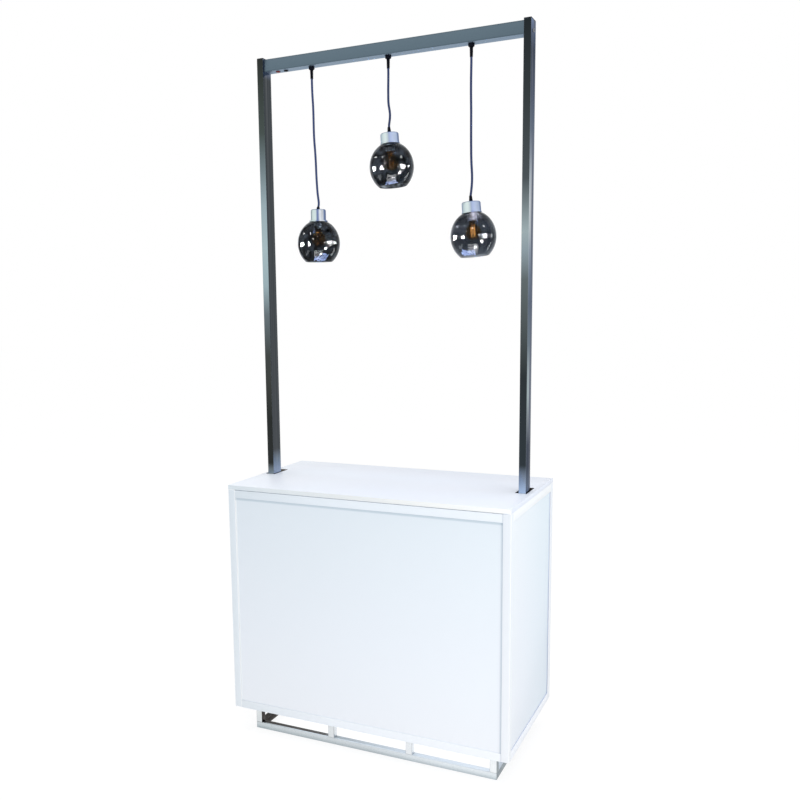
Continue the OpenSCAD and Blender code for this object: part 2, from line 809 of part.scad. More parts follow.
// One cable feeds the driver, one the light bars, and one climbs the left post and runs to the lamps
module wiring() {
    feed_y = box_back - box_d / 2;
    room_x = -(liner_out + bar_t + post_x - post_w / 2) / 2;
    bend = 9;
    box_right = [box_x + box_w / 2 - 2 * box_wall, feed_y, feed_z];
    box_left = [box_x - box_w / 2 + 2 * box_wall, feed_y, feed_z];
    color("black") {
        cable([box_right, [driver_x - driver_w / 2, feed_y, feed_z]], bend);
        cable([[feed_x, driver_y - driver_d / 2, feed_z], [feed_x, reflector_y - bar_t / 2, feed_z]], bend);
        cable([box_left, [room_x, feed_y, feed_z], [room_x, feed_y, entry_z], [room_x, cable_y, entry_z],
               [-post_x, cable_y, entry_z], [-post_x, cable_y, cable_z],
               [pendant_x[2] + 2 * gland_bore_d, cable_y, cable_z]], bend);
        for (x = pendant_x)
            cable([[x, cable_y - cable_r, cable_z], [x, 0, cable_z], [x, 0, header_under]], cable_r);
    }
}

// The parts of lamp i are drawn along its axis, from the top of its cup
module lamp(i) {
    translate(lamp_top(i)) rotate([0, -lamp_lean[i], 0]) children();
}

// The strain relief turns in its gland on a ball, and the cord bends at its tip
module tail(i) {
    color("black") difference() {
        union() {
            translate(gland_pivot(i)) sphere(r = ball_r);
            translate(tail_tip(i)) cylinder(r1 = tail_end_r, r2 = tail_top_r, h = tail_l);
        }
        translate(tail_tip(i)) sphere(r = cord_d / 2 + cord_seat);
    }
}

// A cord's first rings round it off inside the tip of the strain relief
module cord(i) {
    r = cord_d / 2;
    crown = [for (a = [80, 50, 20]) tail_tip(i) + [0, 0, r * sin(a)]];
    route = concat(crown, cord_points(i));
    radii = [for (k = [0 : len(route) - 1]) k < len(crown) ? r * cos([80, 50, 20][k]) : r];
    color("midnightblue") swept_tube(route, radii, 10);
}

module grip(i) {
    color("black") lamp(i) cylinder(r1 = grip_foot_r, r2 = grip_top_r, h = grip_h[i]);
}

// A spun cup with a lip at its foot, closed at the top but for the holder's nipple
module cup(i) {
    r = cups_d[i] / 2;
    lip = cup_lip_d / 2;
    h = cups_h[i];
    color("silver") lamp(i) rotate_extrude() polygon([
        [0, 0], [r, 0], [r, -h + cup_lip_h], [lip, -h + cup_lip_h], [lip, -h], [lip - cup_wall, -h],
        [lip - cup_wall, -h + cup_lip_h - cup_wall], [r - cup_wall, -h + cup_lip_h - cup_wall],
        [r - cup_wall, -cup_wall], [0, -cup_wall]
    ]);
}

// The lampholder hangs under the cup's top, its flange on the globe's neck, and takes the bulb's screw cap
module holder(i) {
    flange_z = globe_centre(i) + globe_z(neck_r) + fit;
    foot = -cups_h[i] - holder_drop;
    color("whitesmoke") lamp(i) difference() {
        union() {
            translate([0, 0, foot]) cylinder(r = holder_r, h = -cup_wall - foot);
            translate([0, 0, flange_z]) cylinder(r = holder_flange_r, h = holder_flange_t);
        }
        translate([0, 0, foot - over]) cylinder(r = socket_r, h = socket_depth + over);
    }
}

// The ring is screwed onto the holder from below and clamps the globe against the flange
module shade_ring(i) {
    top = globe_centre(i) + globe_in_z(ring_r) - fit;
    color("whitesmoke") lamp(i) translate([0, 0, top - ring_h]) difference() {
        cylinder(r = ring_r, h = ring_h);
        translate([0, 0, -over]) cylinder(r = holder_r + fit, h = ring_h + 2 * over);
    }
}

// An ellipsoid's outline from one radius at its top round its waist to another at its foot
function belly(r, b, top_r, low_r) = [
    let (top = acos(top_r / r), low = acos(low_r / r))
    for (k = [0 : 28]) let (a = top - (top + low) * k / 28) [r * cos(a), b * sin(a)]
];

// A globe is an upright ellipsoid of glass, cut at its neck and at its mouth
module globe(i) {
    outer = belly(globe_r, globe_b, neck_r, mouth_d / 2);
    inner = belly(globe_r - glass_t, globe_b - glass_t, neck_r, (mouth_d - glass_t) / 2);
    color("darkslategray", 0.5) lamp(i) translate([0, 0, globe_centre(i)]) rotate_extrude($fn = 96)
        polygon(concat(outer, [for (k = [len(inner) - 1 : -1 : 0]) inner[k]]));
}

// The bulb's outline, as [radius, height below the holder's foot], drawn in by inset
function bulb_outline(inset) = let (
    r = bulb_r - inset,
    neck = bulb_neck_r - inset,
    centre = -bulb_neck_l - bulb_r,
    join = asin(neck / r)
) concat(
    [[neck, -fit]],
    [for (k = [0 : 20]) let (a = 90 - join - (180 - join) * k / 20) [r * cos(a), centre + r * sin(a)]]
);

module bulb_glass(i) {
    foot = -cups_h[i] - holder_drop;
    inner = bulb_outline(bulb_wall);
    color("goldenrod", 0.5) lamp(i) translate([0, 0, foot]) rotate_extrude()
        polygon(concat(bulb_outline(0), [for (k = [len(inner) - 1 : -1 : 0]) inner[k]]));
}

// The bulb's screw cap with the glass stem and the filaments that stand on it
module bulb_core(i) {
    foot = -cups_h[i] - holder_drop;
    stem_l = bulb_neck_l + bulb_r - filament_l / 2;
    color("gold") lamp(i) translate([0, 0, foot]) {
        cylinder(r = screw_cap_r, h = screw_cap_l);
        translate([0, 0, -stem_l]) cylinder(r = bulb_stem_r, h = stem_l + over);
        translate([0, 0, -stem_l]) cylinder(r = filament_ring + filament_r, h = 2 * filament_r);
        for (a = [45 : 90 : 315]) rotate([0, 0, a]) translate([filament_ring, 0, -stem_l - filament_l])
            cylinder(r = filament_r, h = filament_l + over, $fn = 16);
    }
}

base_long_rails();
base_cross_rails();
base_uprights();
corner_posts();
long_rails();
side_rails();
front_panel();
left_panel();
right_panel();
top_board();
floor_board();
front_reflector();
side_liners();
shelf();
shelf_pins();
left_post();
right_post();
post_caps();
header();
header_end_blocks();
post_shoes();
post_straps();
fasteners();
red_terminal();
black_terminal();
glands();
gland_locknuts();
light_bars();
driver();
control_box();
mains_inlet();
rocker_switch();
wiring();
tail(0);  // left_tail
cord(0);  // left_cord
grip(0);  // left_grip
cup(0);  // left_cup
holder(0);  // left_holder
shade_ring(0);  // left_shade_ring
globe(0);  // left_globe
bulb_glass(0);  // left_bulb_glass
bulb_core(0);  // left_bulb_core
tail(1);  // centre_tail
cord(1);  // centre_cord
grip(1);  // centre_grip
cup(1);  // centre_cup
holder(1);  // centre_holder
shade_ring(1);  // centre_shade_ring
globe(1);  // centre_globe
bulb_glass(1);  // centre_bulb_glass
bulb_core(1);  // centre_bulb_core
tail(2);  // right_tail
cord(2);  // right_cord
grip(2);  // right_grip
cup(2);  // right_cup
holder(2);  // right_holder
shade_ring(2);  // right_shade_ring
globe(2);  // right_globe
bulb_glass(2);  // right_bulb_glass
bulb_core(2);  // right_bulb_core
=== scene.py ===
import math
from functools import partial

import bmesh
import bpy
import numpy as np
from bpy.props import FloatProperty, FloatVectorProperty, StringProperty
from mathutils import Matrix, Vector


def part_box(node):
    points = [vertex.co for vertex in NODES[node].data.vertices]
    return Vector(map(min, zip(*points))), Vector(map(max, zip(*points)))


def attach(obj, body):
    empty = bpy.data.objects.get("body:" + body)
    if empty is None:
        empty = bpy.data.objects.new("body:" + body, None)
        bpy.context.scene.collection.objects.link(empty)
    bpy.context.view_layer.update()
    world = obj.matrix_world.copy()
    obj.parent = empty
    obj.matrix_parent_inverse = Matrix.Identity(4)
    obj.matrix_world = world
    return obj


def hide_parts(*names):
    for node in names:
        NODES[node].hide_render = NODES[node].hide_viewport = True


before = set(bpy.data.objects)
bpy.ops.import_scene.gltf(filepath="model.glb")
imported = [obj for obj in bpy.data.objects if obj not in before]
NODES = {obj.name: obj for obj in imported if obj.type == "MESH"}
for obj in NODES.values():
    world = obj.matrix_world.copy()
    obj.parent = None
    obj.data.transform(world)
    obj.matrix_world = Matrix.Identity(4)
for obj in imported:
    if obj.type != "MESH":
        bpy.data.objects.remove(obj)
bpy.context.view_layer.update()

bl_info = {
    "name": "Illuminated bar counter",
    "version": (1, 0, 0),
    "blender": (4, 5, 0),
    "location": "View3D > Sidebar > Bar counter",
    "description": "Looks of a light-box bar counter with a chrome gantry and three pendant lamps",
    "category": "Object",
}

MM = 0.001
SIDES = ("left", "centre", "right")

# Points closer than WELD are one. Faces are one flat face below FLAT. Turned pieces are sharp above SHARP,
# and copies of CAD pieces are rounded above EDGE
WELD = 1e-6
FLAT, SHARP, EDGE = math.radians(0.4), math.radians(35), math.radians(40)


# Sizes and colours that a user would change


class CounterFinishes(bpy.types.PropertyGroup):
    opal: StringProperty(name="Opal panels", description="Colour of the unlit panels", default="#E9F0F8")
    lacquer: StringProperty(name="Frame", description="Colour of the lacquered frame", default="#E8F0F7")
    laminate: StringProperty(name="Top board", description="Colour of the laminated boards",
                             default="#EEF4FD")
    smoke: StringProperty(name="Globe glass", description="Tint of the smoked glass", default="#8A9199")
    amber: StringProperty(name="Bulb glass", description="Tint of the bulbs' glass", default="#E8C690")
    jacket: StringProperty(name="Cords", description="Colour of the pendant cords", default="#2E3858")
    glow: FloatProperty(name="Filament glow", description="Light of the filaments", default=9.0, min=0.0)


class CounterSizes(bpy.types.PropertyGroup):
    board_edge: FloatProperty(name="Board edge", description="Rounding of the boards' edges",
                              default=0.0008, unit="LENGTH", subtype="DISTANCE")
    frame_edge: FloatProperty(name="Frame edge", description="Rounding of the frame's corner posts",
                              default=0.004, unit="LENGTH", subtype="DISTANCE")
    tube_edge: FloatProperty(name="Tube edge", description="Rounding of the tubes' corners",
                             default=0.0028, unit="LENGTH", subtype="DISTANCE")
    post_edge: FloatProperty(name="Post edge", description="Rounding of the posts' corners",
                             default=0.0036, unit="LENGTH", subtype="DISTANCE")
    small_edge: FloatProperty(name="Small edge", description="Rounding of small fittings",
                              default=0.0005, unit="LENGTH", subtype="DISTANCE")
    thread_pitch: FloatProperty(name="Thread pitch", description="Pitch of the bulbs' screw caps",
                                default=0.0036, unit="LENGTH", subtype="DISTANCE")


class CounterView(bpy.types.PropertyGroup):
    place: FloatVectorProperty(name="Camera", description="Where the camera stands", size=3,
                               default=(1.4572, -3.3807, 1.8064), unit="LENGTH", subtype="TRANSLATION")
    aim: FloatVectorProperty(name="Aim", description="Direction that the camera looks in", size=3,
                             default=(-0.4334, 0.8906, -0.1377), subtype="DIRECTION")
    lens: FloatProperty(name="Lens", description="Focal length in millimetres on a 36 mm sensor",
                        default=40.47)


# Geometry


def rounded(points, cut, steps=3):
    """A polyline whose inner corners are cut back by `cut` along both sides and bridged by a parabola:
    (1-t)^2 A + 2t(1-t) P + t^2 B, for t from 0 to 1, where P is the corner and A and B are the cuts."""
    p = np.asarray(points, float)
    before, after = p[:-2] - p[1:-1], p[2:] - p[1:-1]
    far = np.linalg.norm(before, axis=1), np.linalg.norm(after, axis=1)
    back = np.minimum(np.broadcast_to(cut, far[0].shape), 0.48 * np.minimum(*far))[:, None]
    a = p[1:-1] + back * before / far[0][:, None]
    b = p[1:-1] + back * after / far[1][:, None]
    t = np.linspace(0, 1, steps + 1)[None, :, None]
    bend = (1 - t) ** 2 * a[:, None] + 2 * t * (1 - t) * p[1:-1, None] + t ** 2 * b[:, None]
    return np.concatenate([p[:1], bend.reshape(-1, p.shape[1]), p[-1:]])


def curve_through(points, per=4):
    """A smooth line through points: on each span a cubic whose ends have the slope of the neighbours'
    chord."""
    p = np.asarray(points, float)
    q = np.concatenate([[2 * p[0] - p[1]], p, [2 * p[-1] - p[-2]]])
    t = (np.arange(per) / per)[None, :, None]
    a, b, c, d = (q[i : len(q) - 3 + i, None] for i in range(4))
    square, cube = 2 * a - 5 * b + 4 * c - d, 3 * b - a - 3 * c + d
    span = 0.5 * (2 * b + (c - a) * t + square * t ** 2 + cube * t ** 3)
    return np.concatenate([span.reshape(-1, p.shape[1]), p[-1:]])


def angles(around):
    """The angles of so many steps round a circle."""
    return np.linspace(0, 2 * np.pi, around, endpoint=False)


def turned(profile, around=64, swell=None):
    """A profile of (radius, height) carried round the Z axis: x = r cos a, y = r sin a, z = height.
    `swell` is added to the radius, as an array over rows and angles."""
    p, a = np.asarray(profile, float), angles(around)
    r = p[:, :1] + (0 if swell is None else swell)
    return np.stack([r * np.cos(a), r * np.sin(a), np.broadcast_to(p[:, 1:], (len(p), around))], axis=-1)


def hexagon(around):
    """Radius of a hexagon over its corner radius, at each angle: cos 30 / cos(angle within its side - 30)."""
    a = angles(around)
    return math.cos(math.pi / 6) / np.cos(np.mod(a, math.pi / 3) - math.pi / 6)


def waves(count, depth, around):
    """Grooves round a turned piece, at each angle: depth times (1 + cos(count times the angle)) / 2."""
    return depth * (0.5 + 0.5 * np.cos(count * angles(around)))


def swept(path, radius, sides=16):
    """A round tube: at each point of the path a circle of the given radius, square to the path. The circle's
    side vector is carried from point to point without twist. A row of zero radius closes each end."""
    p = np.asarray(path, float)
    head = np.gradient(p, axis=0)
    head /= np.linalg.norm(head, axis=1)[:, None]
    side = np.empty_like(p)
    start = np.array([0.6, 0.8, 0.0]) if abs(head[0, 2]) > 0.7 else np.array([0.0, 0.1, 1.0])
    for i in range(len(p)):
        start = start - (start @ head[i]) * head[i]
        start /= np.linalg.norm(start)
        side[i] = start
    a = angles(sides)[None, :, None]
    r = np.broadcast_to(radius, (len(p),))[:, None, None]
    rings = p[:, None] + r * (np.cos(a) * side[:, None] + np.sin(a) * np.cross(head, side)[:, None])
    ends = [np.repeat(p[i : i + 1, None], sides, axis=1) for i in (0, -1)]
    return np.concatenate([ends[0], rings, ends[1]])


def placed(grid, origin, axis=(0, 0, 1)):
    """A grid of points turned so that +Z lies along `axis`, then moved to `origin`."""
    turn = Vector((0, 0, 1)).rotation_difference(Vector(axis).normalized()).to_matrix()
    return grid @ np.array(turn).T + np.asarray(origin, float)


def piece(name, node, grids, materials, body="counter", closed=False, numbers=None):
    """Makes the piece that stands in for a CAD node from grids of points. Neighbours in a grid are joined by
    quads, its columns close on themselves, and its rows do too where `closed` is set. Rows of one point
    become poles. `numbers` picks each grid's material. The faces are then turned outwards."""
    points, faces, uvs, picked, offset = [], [], [], [], 0
    for grid, number in zip(grids, numbers or [0] * len(grids)):
        rows, columns = grid.shape[:2]
        i = np.arange(rows if closed else rows - 1)[:, None]
        j = np.arange(columns)[None, :]
        low, high, right = i * columns, ((i + 1) % rows) * columns, (j + 1) % columns
        quads = np.stack([low + j, low + right, high + right, high + j], axis=-1).reshape(-1, 4)
        u = np.stack(np.broadcast_arrays(j, j + 1, j + 1, j), axis=-1) / columns
        v = np.stack(np.broadcast_arrays(i, i, i + 1, i + 1), axis=-1) / rows
        points.append(grid.reshape(-1, 3))
        faces.append(quads + offset)
        uvs.append(np.stack(np.broadcast_arrays(u, v), axis=-1).reshape(-1, 2))
        picked.append(np.full(len(quads), number))
        offset += rows * columns
    mesh = bpy.data.meshes.new(name)
    mesh.from_pydata(np.concatenate(points).tolist(), [], np.concatenate(faces).tolist())
    mesh.uv_layers.new(name="UVMap").data.foreach_set("uv", np.concatenate(uvs).ravel())
    mesh.polygons.foreach_set("material_index", np.concatenate(picked))
    shape = bmesh.new()
    shape.from_mesh(mesh)
    bmesh.ops.remove_doubles(shape, verts=shape.verts, dist=WELD)
    bmesh.ops.recalc_face_normals(shape, faces=shape.faces)
    shape.to_mesh(mesh)
    shape.free()
    mesh.polygons.foreach_set("use_smooth", np.ones(len(mesh.polygons), bool))
    mesh.set_sharp_from_angle(angle=SHARP)
    return settled(bpy.data.objects.new(name, mesh), node, materials, body)


def settled(obj, node, materials, body):
    """Gives a piece its materials, named in one string, and joins it to the frame in place of its CAD node."""
    names = materials.split()
    for name in names:
        obj.data.materials.append(material(name))
    bpy.context.scene.collection.objects.link(obj)
    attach(obj, body)
    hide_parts(node)
    return obj


def eased(node, edge, materials, body="counter", steps=2, number=None, edge_number=-1):
    """A copy of a CAD node: its triangles are joined into flat faces and each edge is rounded. `number` picks
    the material of a face, and `edge_number` is that of the rounding, or -1 for its neighbours' own."""
    mesh = NODES[node].data.copy()
    mesh.materials.clear()
    shape = bmesh.new()
    shape.from_mesh(mesh)
    bmesh.ops.remove_doubles(shape, verts=shape.verts, dist=WELD)
    bmesh.ops.dissolve_limit(shape, angle_limit=FLAT, verts=shape.verts, edges=shape.edges)
    for face in shape.faces:
        face.smooth = True
        face.material_index = number(face) if number else 0
    shape.to_mesh(mesh)
    shape.free()
    obj = settled(bpy.data.objects.new(node + "_eased", mesh), node, materials, body)
    bevel = obj.modifiers.new("Eased edges", "BEVEL")
    bevel.width = edge
    bevel.segments = steps
    bevel.limit_method = "ANGLE"
    bevel.angle_limit = EDGE
    bevel.harden_normals = True
    bevel.loop_slide = False
    bevel.material = edge_number
    return obj


# Lamps: each hangs from its gland, and its own axis leans by a few degrees

# The cords' routes from the tips of their strain reliefs, in millimetres to the right and up
ROUTES = {
    "left": [
        [0, 0], [0.2, -20], [0.5, -38], [1, -56], [1.8, -74], [2.8, -92], [3.5, -110], [4, -128],
        [4.2, -146], [4.3, -164], [4.4, -182], [4.5, -200], [4.8, -218], [5.5, -236], [6.5, -254],
        [7.8, -272], [9, -290], [10, -308], [10.8, -326], [11.4, -344], [11.8, -362], [12.3, -380],
        [13, -398], [14, -416], [15, -434], [16.2, -451], [17.8, -466], [19.8, -480], [21, -492],
        [20.3, -503], [18, -512],
    ],
    "centre": [
        [0, 0], [0.2, -16], [0, -32], [-0.3, -48], [-0.7, -64], [-1, -80], [-1, -96], [-1, -112],
        [-0.6, -126], [0.8, -140], [3, -153], [5, -166], [5.6, -178], [4.8, -191], [3, -203],
        [1.4, -214], [0.8, -225],
    ],
    "right": [
        [0, 0], [0, -18], [-0.2, -36], [-0.5, -54], [-0.8, -72], [-1, -90], [-1, -108], [-1, -126],
        [-0.8, -144], [-0.5, -162], [-0.2, -180], [0, -198], [0, -216], [0, -234], [0, -252],
        [0, -270], [0, -288], [0.1, -306], [0.3, -324], [0.5, -342], [0.8, -360], [1.4, -378],
        [2.2, -394], [3.2, -410], [4.1, -426], [4.4, -442], [4, -458], [2.9, -474], [1.2, -490],
        [-0.6, -503], [-1.2, -510],
    ],
}
# Places, radii, heights and thicknesses in metres. LEAN is in degrees. GLOBE_B is a globe's half height, and
# FIT the play between pieces that touch
GLAND_X = {"left": -0.337, "centre": 0.002, "right": 0.341}
LEAN = {"left": 0.0, "centre": 4.0, "right": 4.5}
CUP_R = {"left": 0.031, "centre": 0.036, "right": 0.036}
CUP_H = {"left": 0.050, "centre": 0.042, "right": 0.042}
CUP_LIP, CUP_WALL, FIT = 0.038, 0.0015, 0.0002
GRIP_H = {"left": 0.011, "centre": 0.023, "right": 0.023}
GLAND_Z = 2.756
TAIL_L = 0.036
CORD_D = 0.009
CORD_SUNK = 0.003
HOLDER_DROP = 0.030
GLOBE_R, GLOBE_B, GLASS_T, NECK_R, MOUTH_R = 0.088, 0.0968, 0.003, 0.021, 0.056
HOLDER_R, RING_BORE, RING_R = 0.0195, 0.0197, 0.027


def cord_path(side):
    """The cord's route from the tip of its strain relief to its end in the grip."""
    route = np.array(ROUTES[side], float) * MM
    tip = np.array([GLAND_X[side], 0.0, GLAND_Z - TAIL_L])
    return tip + np.insert(route, 1, 0, axis=1)


def lamp_up(side):
    """The direction up along a lamp's own axis."""
    lean = math.radians(LEAN[side])
    return np.array([-math.sin(lean), 0.0, math.cos(lean)])


def on_lamp(side, grid, drop=0.0):
    """Puts a grid on a lamp's axis. Height 0 is the top of the cup, and `drop` moves the grid down."""
    top = cord_path(side)[-1] - (GRIP_H[side] - CORD_SUNK) * lamp_up(side)
    return placed(grid, top - drop * lamp_up(side), lamp_up(side))


def lamp_piece(side, part, how, grid, materials, drop=0.0, closed=False):
    """One piece on a lamp's axis, named after the part that it stands in for and how that part is made."""
    piece(f"{side}_{part}_{how}", f"{side}_{part}", [on_lamp(side, grid, drop)], materials,
          f"{side}_lamp", closed)


def globe_height(r, inset=0.0):
    """Height above a globe's middle at radius r: its half height times sqrt(1 - (r / its radius)^2)."""
    return (GLOBE_B - inset) * math.sqrt(1 - (r / (GLOBE_R - inset)) ** 2)


def globe_drop(side):
    """How far a globe's middle lies below the top of its cup, whose lip rests on the glass."""
    return CUP_H[side] + globe_height(CUP_LIP - CUP_WALL) + FIT


def belly(r, b, top_r, low_r, steps=44):
    """An upright ellipse's outline, (r cos a, b sin a), from the angle of one radius to that of another."""
    a = np.linspace(math.acos(top_r / r), -math.acos(low_r / r), steps + 1)
    return np.c_[r * np.cos(a), b * np.sin(a)]


# Materials


def linear(colour):
    """A hex sRGB colour as linear RGBA: c / 12.92 below 0.04045, else ((c + 0.055) / 1.055) ^ 2.4. The name
    of one of the counter's finishes stands for its colour."""
    digits = getattr(bpy.context.scene.counter_finishes, colour, colour).lstrip("#")
    parts = [int(digits[i : i + 2], 16) / 255 for i in (0, 2, 4)]
    return [c / 12.92 if c <= 0.04045 else ((c + 0.055) / 1.055) ** 2.4 for c in parts] + [1.0]


def add(tree, kind, settings=None, inputs=None, stops=None):
    """Adds a node. `settings` are its own properties, `inputs` its sockets by name or number, each a value or
    another node's output, and `stops` a colour ramp's stops in one string: a place and a colour for each."""
    node = tree.nodes.new("ShaderNode" + kind)
    for key, value in (settings or {}).items():
        setattr(node, key, value)
    for key, value in (inputs or {}).items():
        if isinstance(value, bpy.types.NodeSocket):
            tree.links.new(value, node.inputs[key])
        else:
            node.inputs[key].default_value = value
    if stops:
        places, colours = stops.split()[::2], stops.split()[1::2]
        elements = node.color_ramp.elements
        while len(elements) < len(places):
            elements.new(0.5)
        for element, place, colour in zip(elements, places, colours):
            element.position, element.color = float(place), linear(colour)
    return node


# Noise lies mostly between these
CLOUD_LOW, CLOUD_HIGH = 0.35, 0.65
GRAIN_LOW, GRAIN_HIGH = 0.3, 0.7


def finish(name, colours, smooth, dull, patch, grit, bump, stretch=(1, 1, 1), bands=(), glow=0.0, **sockets):
    """A material from its two colours, mixed in soft patches, the ends of its roughness and its fine grain.
    Sizes are in millimetres: `patch` across a patch, `grit` across a grain and `bump` its height. `stretch`
    draws the grain out along an axis. Each of `bands` is (blend, share, source, low, high, stops): its stops
    are laid from `low` to `high` over an axis of the object, in metres, or over the UV map's U or V, and
    blended in. `glow` is its share of the filaments' light. `sockets` are set on the shader directly, with _
    for each space in their names."""
    material = bpy.data.materials.new(name)
    material.use_nodes = True
    tree = material.node_tree
    shader = tree.nodes["Principled BSDF"]
    places = add(tree, "TexCoord").outputs
    shrunk = {"Vector": places["Object"], "Scale": [1 / s for s in stretch]}
    drawn = add(tree, "Mapping", inputs=shrunk).outputs[0]
    cloud = add(tree, "TexNoise", inputs={"Vector": drawn, "Scale": 1000 / patch, "Detail": 4.0}).outputs[0]
    grain = add(tree, "TexNoise", inputs={"Vector": drawn, "Scale": 1000 / grit, "Detail": 2.0}).outputs[0]
    spread = add(tree, "MapRange", inputs={0: cloud, 1: CLOUD_LOW, 2: CLOUD_HIGH}).outputs[0]
    ends = [linear(colour) for colour in colours.split()]
    colour = add(tree, "Mix", {"data_type": "RGBA"}, {0: spread, 6: ends[0], 7: ends[1]}).outputs[2]
    for blend, share, source, low, high, stops in bands:
        split = add(tree, "SeparateXYZ", inputs={0: places["UV" if source in "UV" else "Object"]}).outputs
        along = split["XYZUV".index(source) % 3]
        place = add(tree, "MapRange", inputs={0: along, 1: low, 2: high}).outputs[0]
        ramp = add(tree, "ValToRGB", inputs={0: place}, stops=stops).outputs[0]
        blended = {"data_type": "RGBA", "blend_type": blend}
        colour = add(tree, "Mix", blended, {0: share, 6: colour, 7: ramp}).outputs[2]
    tree.links.new(colour, shader.inputs["Base Color"])
    levels = {0: grain, 1: GRAIN_LOW, 2: GRAIN_HIGH, 3: smooth, 4: dull}
    rough = add(tree, "MapRange", inputs=levels).outputs[0]
    tree.links.new(rough, shader.inputs["Roughness"])
    if bump:
        relief = add(tree, "Bump", inputs={"Height": grain, "Distance": bump * MM, "Strength": 1.0})
        tree.links.new(relief.outputs[0], shader.inputs["Normal"])
    if glow:
        shader.inputs["Emission Strength"].default_value = glow * bpy.context.scene.counter_finishes.glow
    for key, value in sockets.items():
        socket = shader.inputs[key.replace("_", " ")]
        socket.default_value = linear(value) if isinstance(value, str) else value
    return material


MATERIALS = {}


def material(name):
    """A material of the counter, made when it is first asked for."""
    if name not in MATERIALS:
        MATERIALS[name] = RECIPES[name]()
    return MATERIALS[name]


def post_chrome(name, colours, bands, edge="FFFFFF"):
    """Chromed steel tube, polished, with painted reflections: the dark and pale parts of the room that a post
    would mirror are painted over its height."""
    return finish(name, colours, 0.08, 0.2, 120, 1.2, 0.004, stretch=(1, 1, 30), bands=bands, Metallic=1.0,
                  Specular_Tint=edge)


def spun_chrome(name, stops):
    """Spun and chromed steel with painted reflections: bands of painted reflection run down the cup and
    darken its top, and fine turning marks run round it. Towards its outline the painted reflections are of
    darker things."""
    return finish(name, "C9D2DC E4EAF1", 0.36, 0.48, 30, 0.8, 0.003, Metallic=1.0, Specular_Tint="8C9CBC",
                  bands=[("MIX", 0.92, *ROUND, stops),
                         ("MULTIPLY", 1.0, "V", 0, 0.129, "0 8494B0 0.5 8494B0 0.85 FFFFFF")])


def opal(name, bands):
    """Opal acrylic: one milky colour and a smooth, barely uneven skin, over which its `bands` paint light and
    shade.
    """
    return finish(name, "opal EAF1F8", 0.3, 0.38, 260, 18, 0.01, bands=bands, Specular_IOR_Level=0.3)


def smoked_glass(name, bands=()):
    """Mouth-blown glass with a grey smoke tint: cloudy in soft patches, slightly uneven, and mirror
    smooth."""
    return finish(name, "14171B smoke", 0.0, 0.02, 24, 30, 0.05, bands=bands, Transmission_Weight=1.0,
                  IOR=1.15, Specular_IOR_Level=0.5)


# What bands are laid over: an axis from one place to another in metres, or the whole of a UV map
ROUND, ALONG = ("U", 0, 1), ("V", 0, 1)
POST_Z, HEADER_Z = ("Z", 1.07, 2.82), ("Z", 2.768, 2.816)
FRAME_Z, PANEL_Z = ("Z", 0.11, 1.06), ("Z", 0.142, 1.02)
BASE_X, HEADER_X = ("X", -0.535, 0.535), ("X", -0.548, 0.548)
PANEL_X, FULL_X = ("X", -0.568, 0.568), ("X", -0.6, 0.6)

